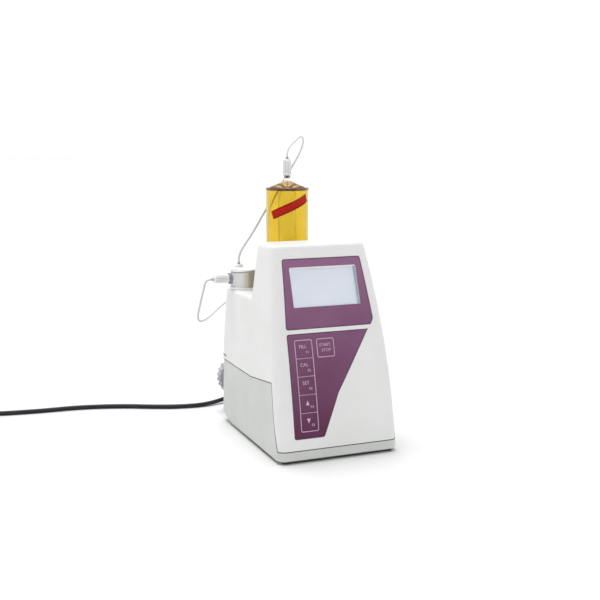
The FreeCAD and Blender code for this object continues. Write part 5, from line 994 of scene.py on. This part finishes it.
PLATE_FOOT = 0.1
PLATE_TOP = 2.96


def under_tub_shadow_plate():
    """A dark plate under the tub, cut back at its four corners for the feet: painted shadow in the gap under
    the tub.
    """
    side, waist, front, heel = 64.5, 40.5, 2.6, 138.0
    lip, strip = 61.0, 11.0
    front_foot, rear_foot = 29.5, 118.5
    outline = np.array([(-lip, strip), (-lip, front), (lip, front), (lip, strip), (waist, strip),
                        (waist, front_foot), (side, front_foot), (side, rear_foot), (waist, rear_foot),
                        (waist, heel), (-waist, heel), (-waist, rear_foot), (-side, rear_foot),
                        (-side, front_foot), (-waist, front_foot), (-waist, strip)])
    count = len(outline)
    points = np.concatenate([np.c_[outline, np.full(count, level)] for level in (PLATE_FOOT, PLATE_TOP)])
    number = np.arange(count)
    after = (number + 1) % count
    sides = np.stack([number, after, after + count, number + count], axis=1).tolist()
    return points, sides + [list(range(count))[::-1], list(range(count, 2 * count))]


# Painted shadow: the near-black plate darkens the gap under the tub
plate = mesh_piece("under_tub_shadow_plate", *under_tub_shadow_plate(), MATERIALS["black_plastic"], "housing", "black_plastic")
plate_edges = plate.modifiers.new("soft_edges", "BEVEL")
plate_edges.width = 0.2 * MILLIMETRE
plate_edges.segments = 2


# Ribbed hose nuts. A point of the profile is its radius, its height and how deep the grooves are there

NUT_SIDE = [(0.8, 0.0), (1.7, 0.0), (2.0, 0.5), (2.5, 1.0), (6.0, 1.0), (10.0, 1.0), (14.0, 1.0),
            (15.2, 1.0), (15.7, 0.5), (16.0, 0.0), (17.1, 0.0)]
NUT_PROFILE = [(4.3, 0.0, 0.0), (4.72, 0.3, 0.0)] + [(NUT_RADIUS, *place) for place in NUT_SIDE] + [
    (4.75, 17.6, 0.0), (4.3, NUT_LENGTH, 0.0), (NUT_BORE, NUT_LENGTH, 0.0), (NUT_BORE, NUT_FLOOR, 0.0),
    (NUT_HOLLOW, NUT_FLOOR, 0.0), (NUT_HOLLOW, 0.0, 0.0)]


def ribbed_nut(name, foot, way, node):
    """A nut along its own axis: the radius at a turn and a height is the profile's radius less the groove's
    depth, where the groove follows the square of the cosine of the ribs' count times the turn."""
    radius, height, cut = np.array(NUT_PROFILE).T
    turn = np.linspace(0, 2 * math.pi, NUT_RIBS * RIB_POINTS + 1)[:-1]
    groove = cut[:, None] * np.clip(np.cos(NUT_RIBS * turn), 0, 1) ** 2
    reach = radius[:, None] - NUT_GROOVE * groove
    axis = np.array(way, dtype=float)
    first = np.cross(axis, (0.0, 0.6, 0.8))
    first /= np.linalg.norm(first)
    second = np.cross(axis, first)
    spoke = np.cos(turn)[:, None] * first + np.sin(turn)[:, None] * second
    points = np.array(foot) + reach[..., None] * spoke[None] + height[:, None, None] * axis
    faces = grid_faces(len(radius), len(turn), True, True)[:, ::-1].tolist()
    nut = mesh_piece(name, points.reshape(-1, 3), faces, NUT_PLASTIC_GROOVE_SHADE, "housing", "nut_white")
    shade = nut.data.attributes.new("groove", "FLOAT", "POINT")
    shade.data.foreach_set("value", groove.ravel())
    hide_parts(node)


REAR_TURN = math.radians(40.0)
VALVE_PLACE = (-40.4, 169.0, 168.6)
TOP_NUT_PLACE = (-48.5, 176.5, 165.6)
HEAD_NUT_HEIGHT = 285.0
NUT_REACH = 23.0
ribbed_nut("head_ribbed_nut", (0.0, CYLINDER_DEPTH, HEAD_NUT_HEIGHT), (0, 0, 1), "cylinder_nut")
ribbed_nut("left_ribbed_nut", (VALVE_PLACE[0] - NUT_REACH, *VALVE_PLACE[1:]), (-1, 0, 0), "left_nut")
ribbed_nut("rear_ribbed_nut", (VALVE_PLACE[0] + NUT_REACH * math.sin(REAR_TURN),
                               VALVE_PLACE[1] + NUT_REACH * math.cos(REAR_TURN), VALVE_PLACE[2]),
           (math.sin(REAR_TURN), math.cos(REAR_TURN), 0), "rear_nut")
ribbed_nut("top_ribbed_nut", TOP_NUT_PLACE, (0, 0, 1), "top_nut")


# Bare red band round the amber jacket

BAND_SLANT = math.radians(24.0)
BAND_HALF_LENGTH = 24.3
BAND_HALF_WIDTH = 4.75
BAND_MIDDLE = (-4.75, 251.1)
BAND_PROUD = (0.02, 0.1)


def jacket_band():
    """A slanted band on the cylinder: unrolled, u runs along the band and v across it, then
    angle = unrolled x / radius, x = radius * sine and depth = axis - radius * cosine of the angle."""
    u, v = np.meshgrid(np.linspace(-BAND_HALF_LENGTH, BAND_HALF_LENGTH, 49),
                       np.linspace(-BAND_HALF_WIDTH, BAND_HALF_WIDTH, 5), indexing="ij")
    angle = (BAND_MIDDLE[0] + u * math.cos(BAND_SLANT) - v * math.sin(BAND_SLANT)) / JACKET_RADIUS
    height = BAND_MIDDLE[1] + u * math.sin(BAND_SLANT) + v * math.cos(BAND_SLANT)
    layers = []
    for proud in BAND_PROUD:
        radius = JACKET_RADIUS + proud
        layers.append(np.stack([radius * np.sin(angle), CYLINDER_DEPTH - radius * np.cos(angle), height],
                               axis=-1))
    return slab(layers)


mesh_piece("jacket_band", *jacket_band(), BAND_RED, "housing", "amber", smooth=True)


# Stage and lights

def stage_piece(name, profile, colour, patch, glow):
    """A round stage form: a profile of radius and height carried round the upright axis."""
    turn = np.linspace(0, 2 * math.pi, 97)[:-1]
    radius, height = np.array(profile).T
    grid = np.stack([radius[:, None] * np.cos(turn), radius[:, None] * np.sin(turn),
                     np.broadcast_to(height[:, None], (len(radius), len(turn)))], axis=-1)
    faces = grid_faces(len(radius), len(turn), False, True)[:, ::-1].tolist()
    mesh = bpy.data.meshes.new(name)
    mesh.from_pydata(grid.reshape(-1, 3).tolist(), [], faces)
    item = placed(name, mesh)
    finish = Finish(name, 0.6)
    grain_node = finish.place(GRAIN, Grain_Scale=900.0, Patch_Scale=3.0)
    shade = finish.mix(grain_node.outputs["Patches"], colour, patch)
    finish.feed("Base Color", shade)
    finish.feed("Emission Color", shade)
    finish.shader.inputs["Emission Strength"].default_value = glow
    finish.bump(grain_node.outputs["Height"], 0.1, 0.00003)
    mesh.materials.append(finish.material)


stage_piece("floor", [(0.001, 0.0), (1.0, 0.0), (4.0, 0.0), (14.0, 0.0)], (0.765, 0.765, 0.765),
            (0.755, 0.755, 0.755), 0.0)
stage_piece("backdrop", [(14.0, 0.0), (14.5, 0.2), (14.7, 0.7), (14.7, 5.2)], (0.88, 0.88, 0.88),
            (0.86, 0.86, 0.86), 0.48)

world = bpy.data.worlds.new("studio")
world.use_nodes = True
world.node_tree.nodes["Background"].inputs["Color"].default_value = (1.0, 1.0, 1.0, 1.0)
world.node_tree.nodes["Background"].inputs["Strength"].default_value = 0.5
bpy.context.scene.world = world
bpy.context.scene.view_settings.view_transform = "Standard"
overhead = bpy.data.lights.new("overhead", "SUN")
overhead.energy = 2.8
overhead.angle = math.radians(38.0)
overhead_holder = placed("overhead", overhead)
overhead_holder.rotation_euler = (math.radians(-15.0), math.radians(-3.0), 0.0)
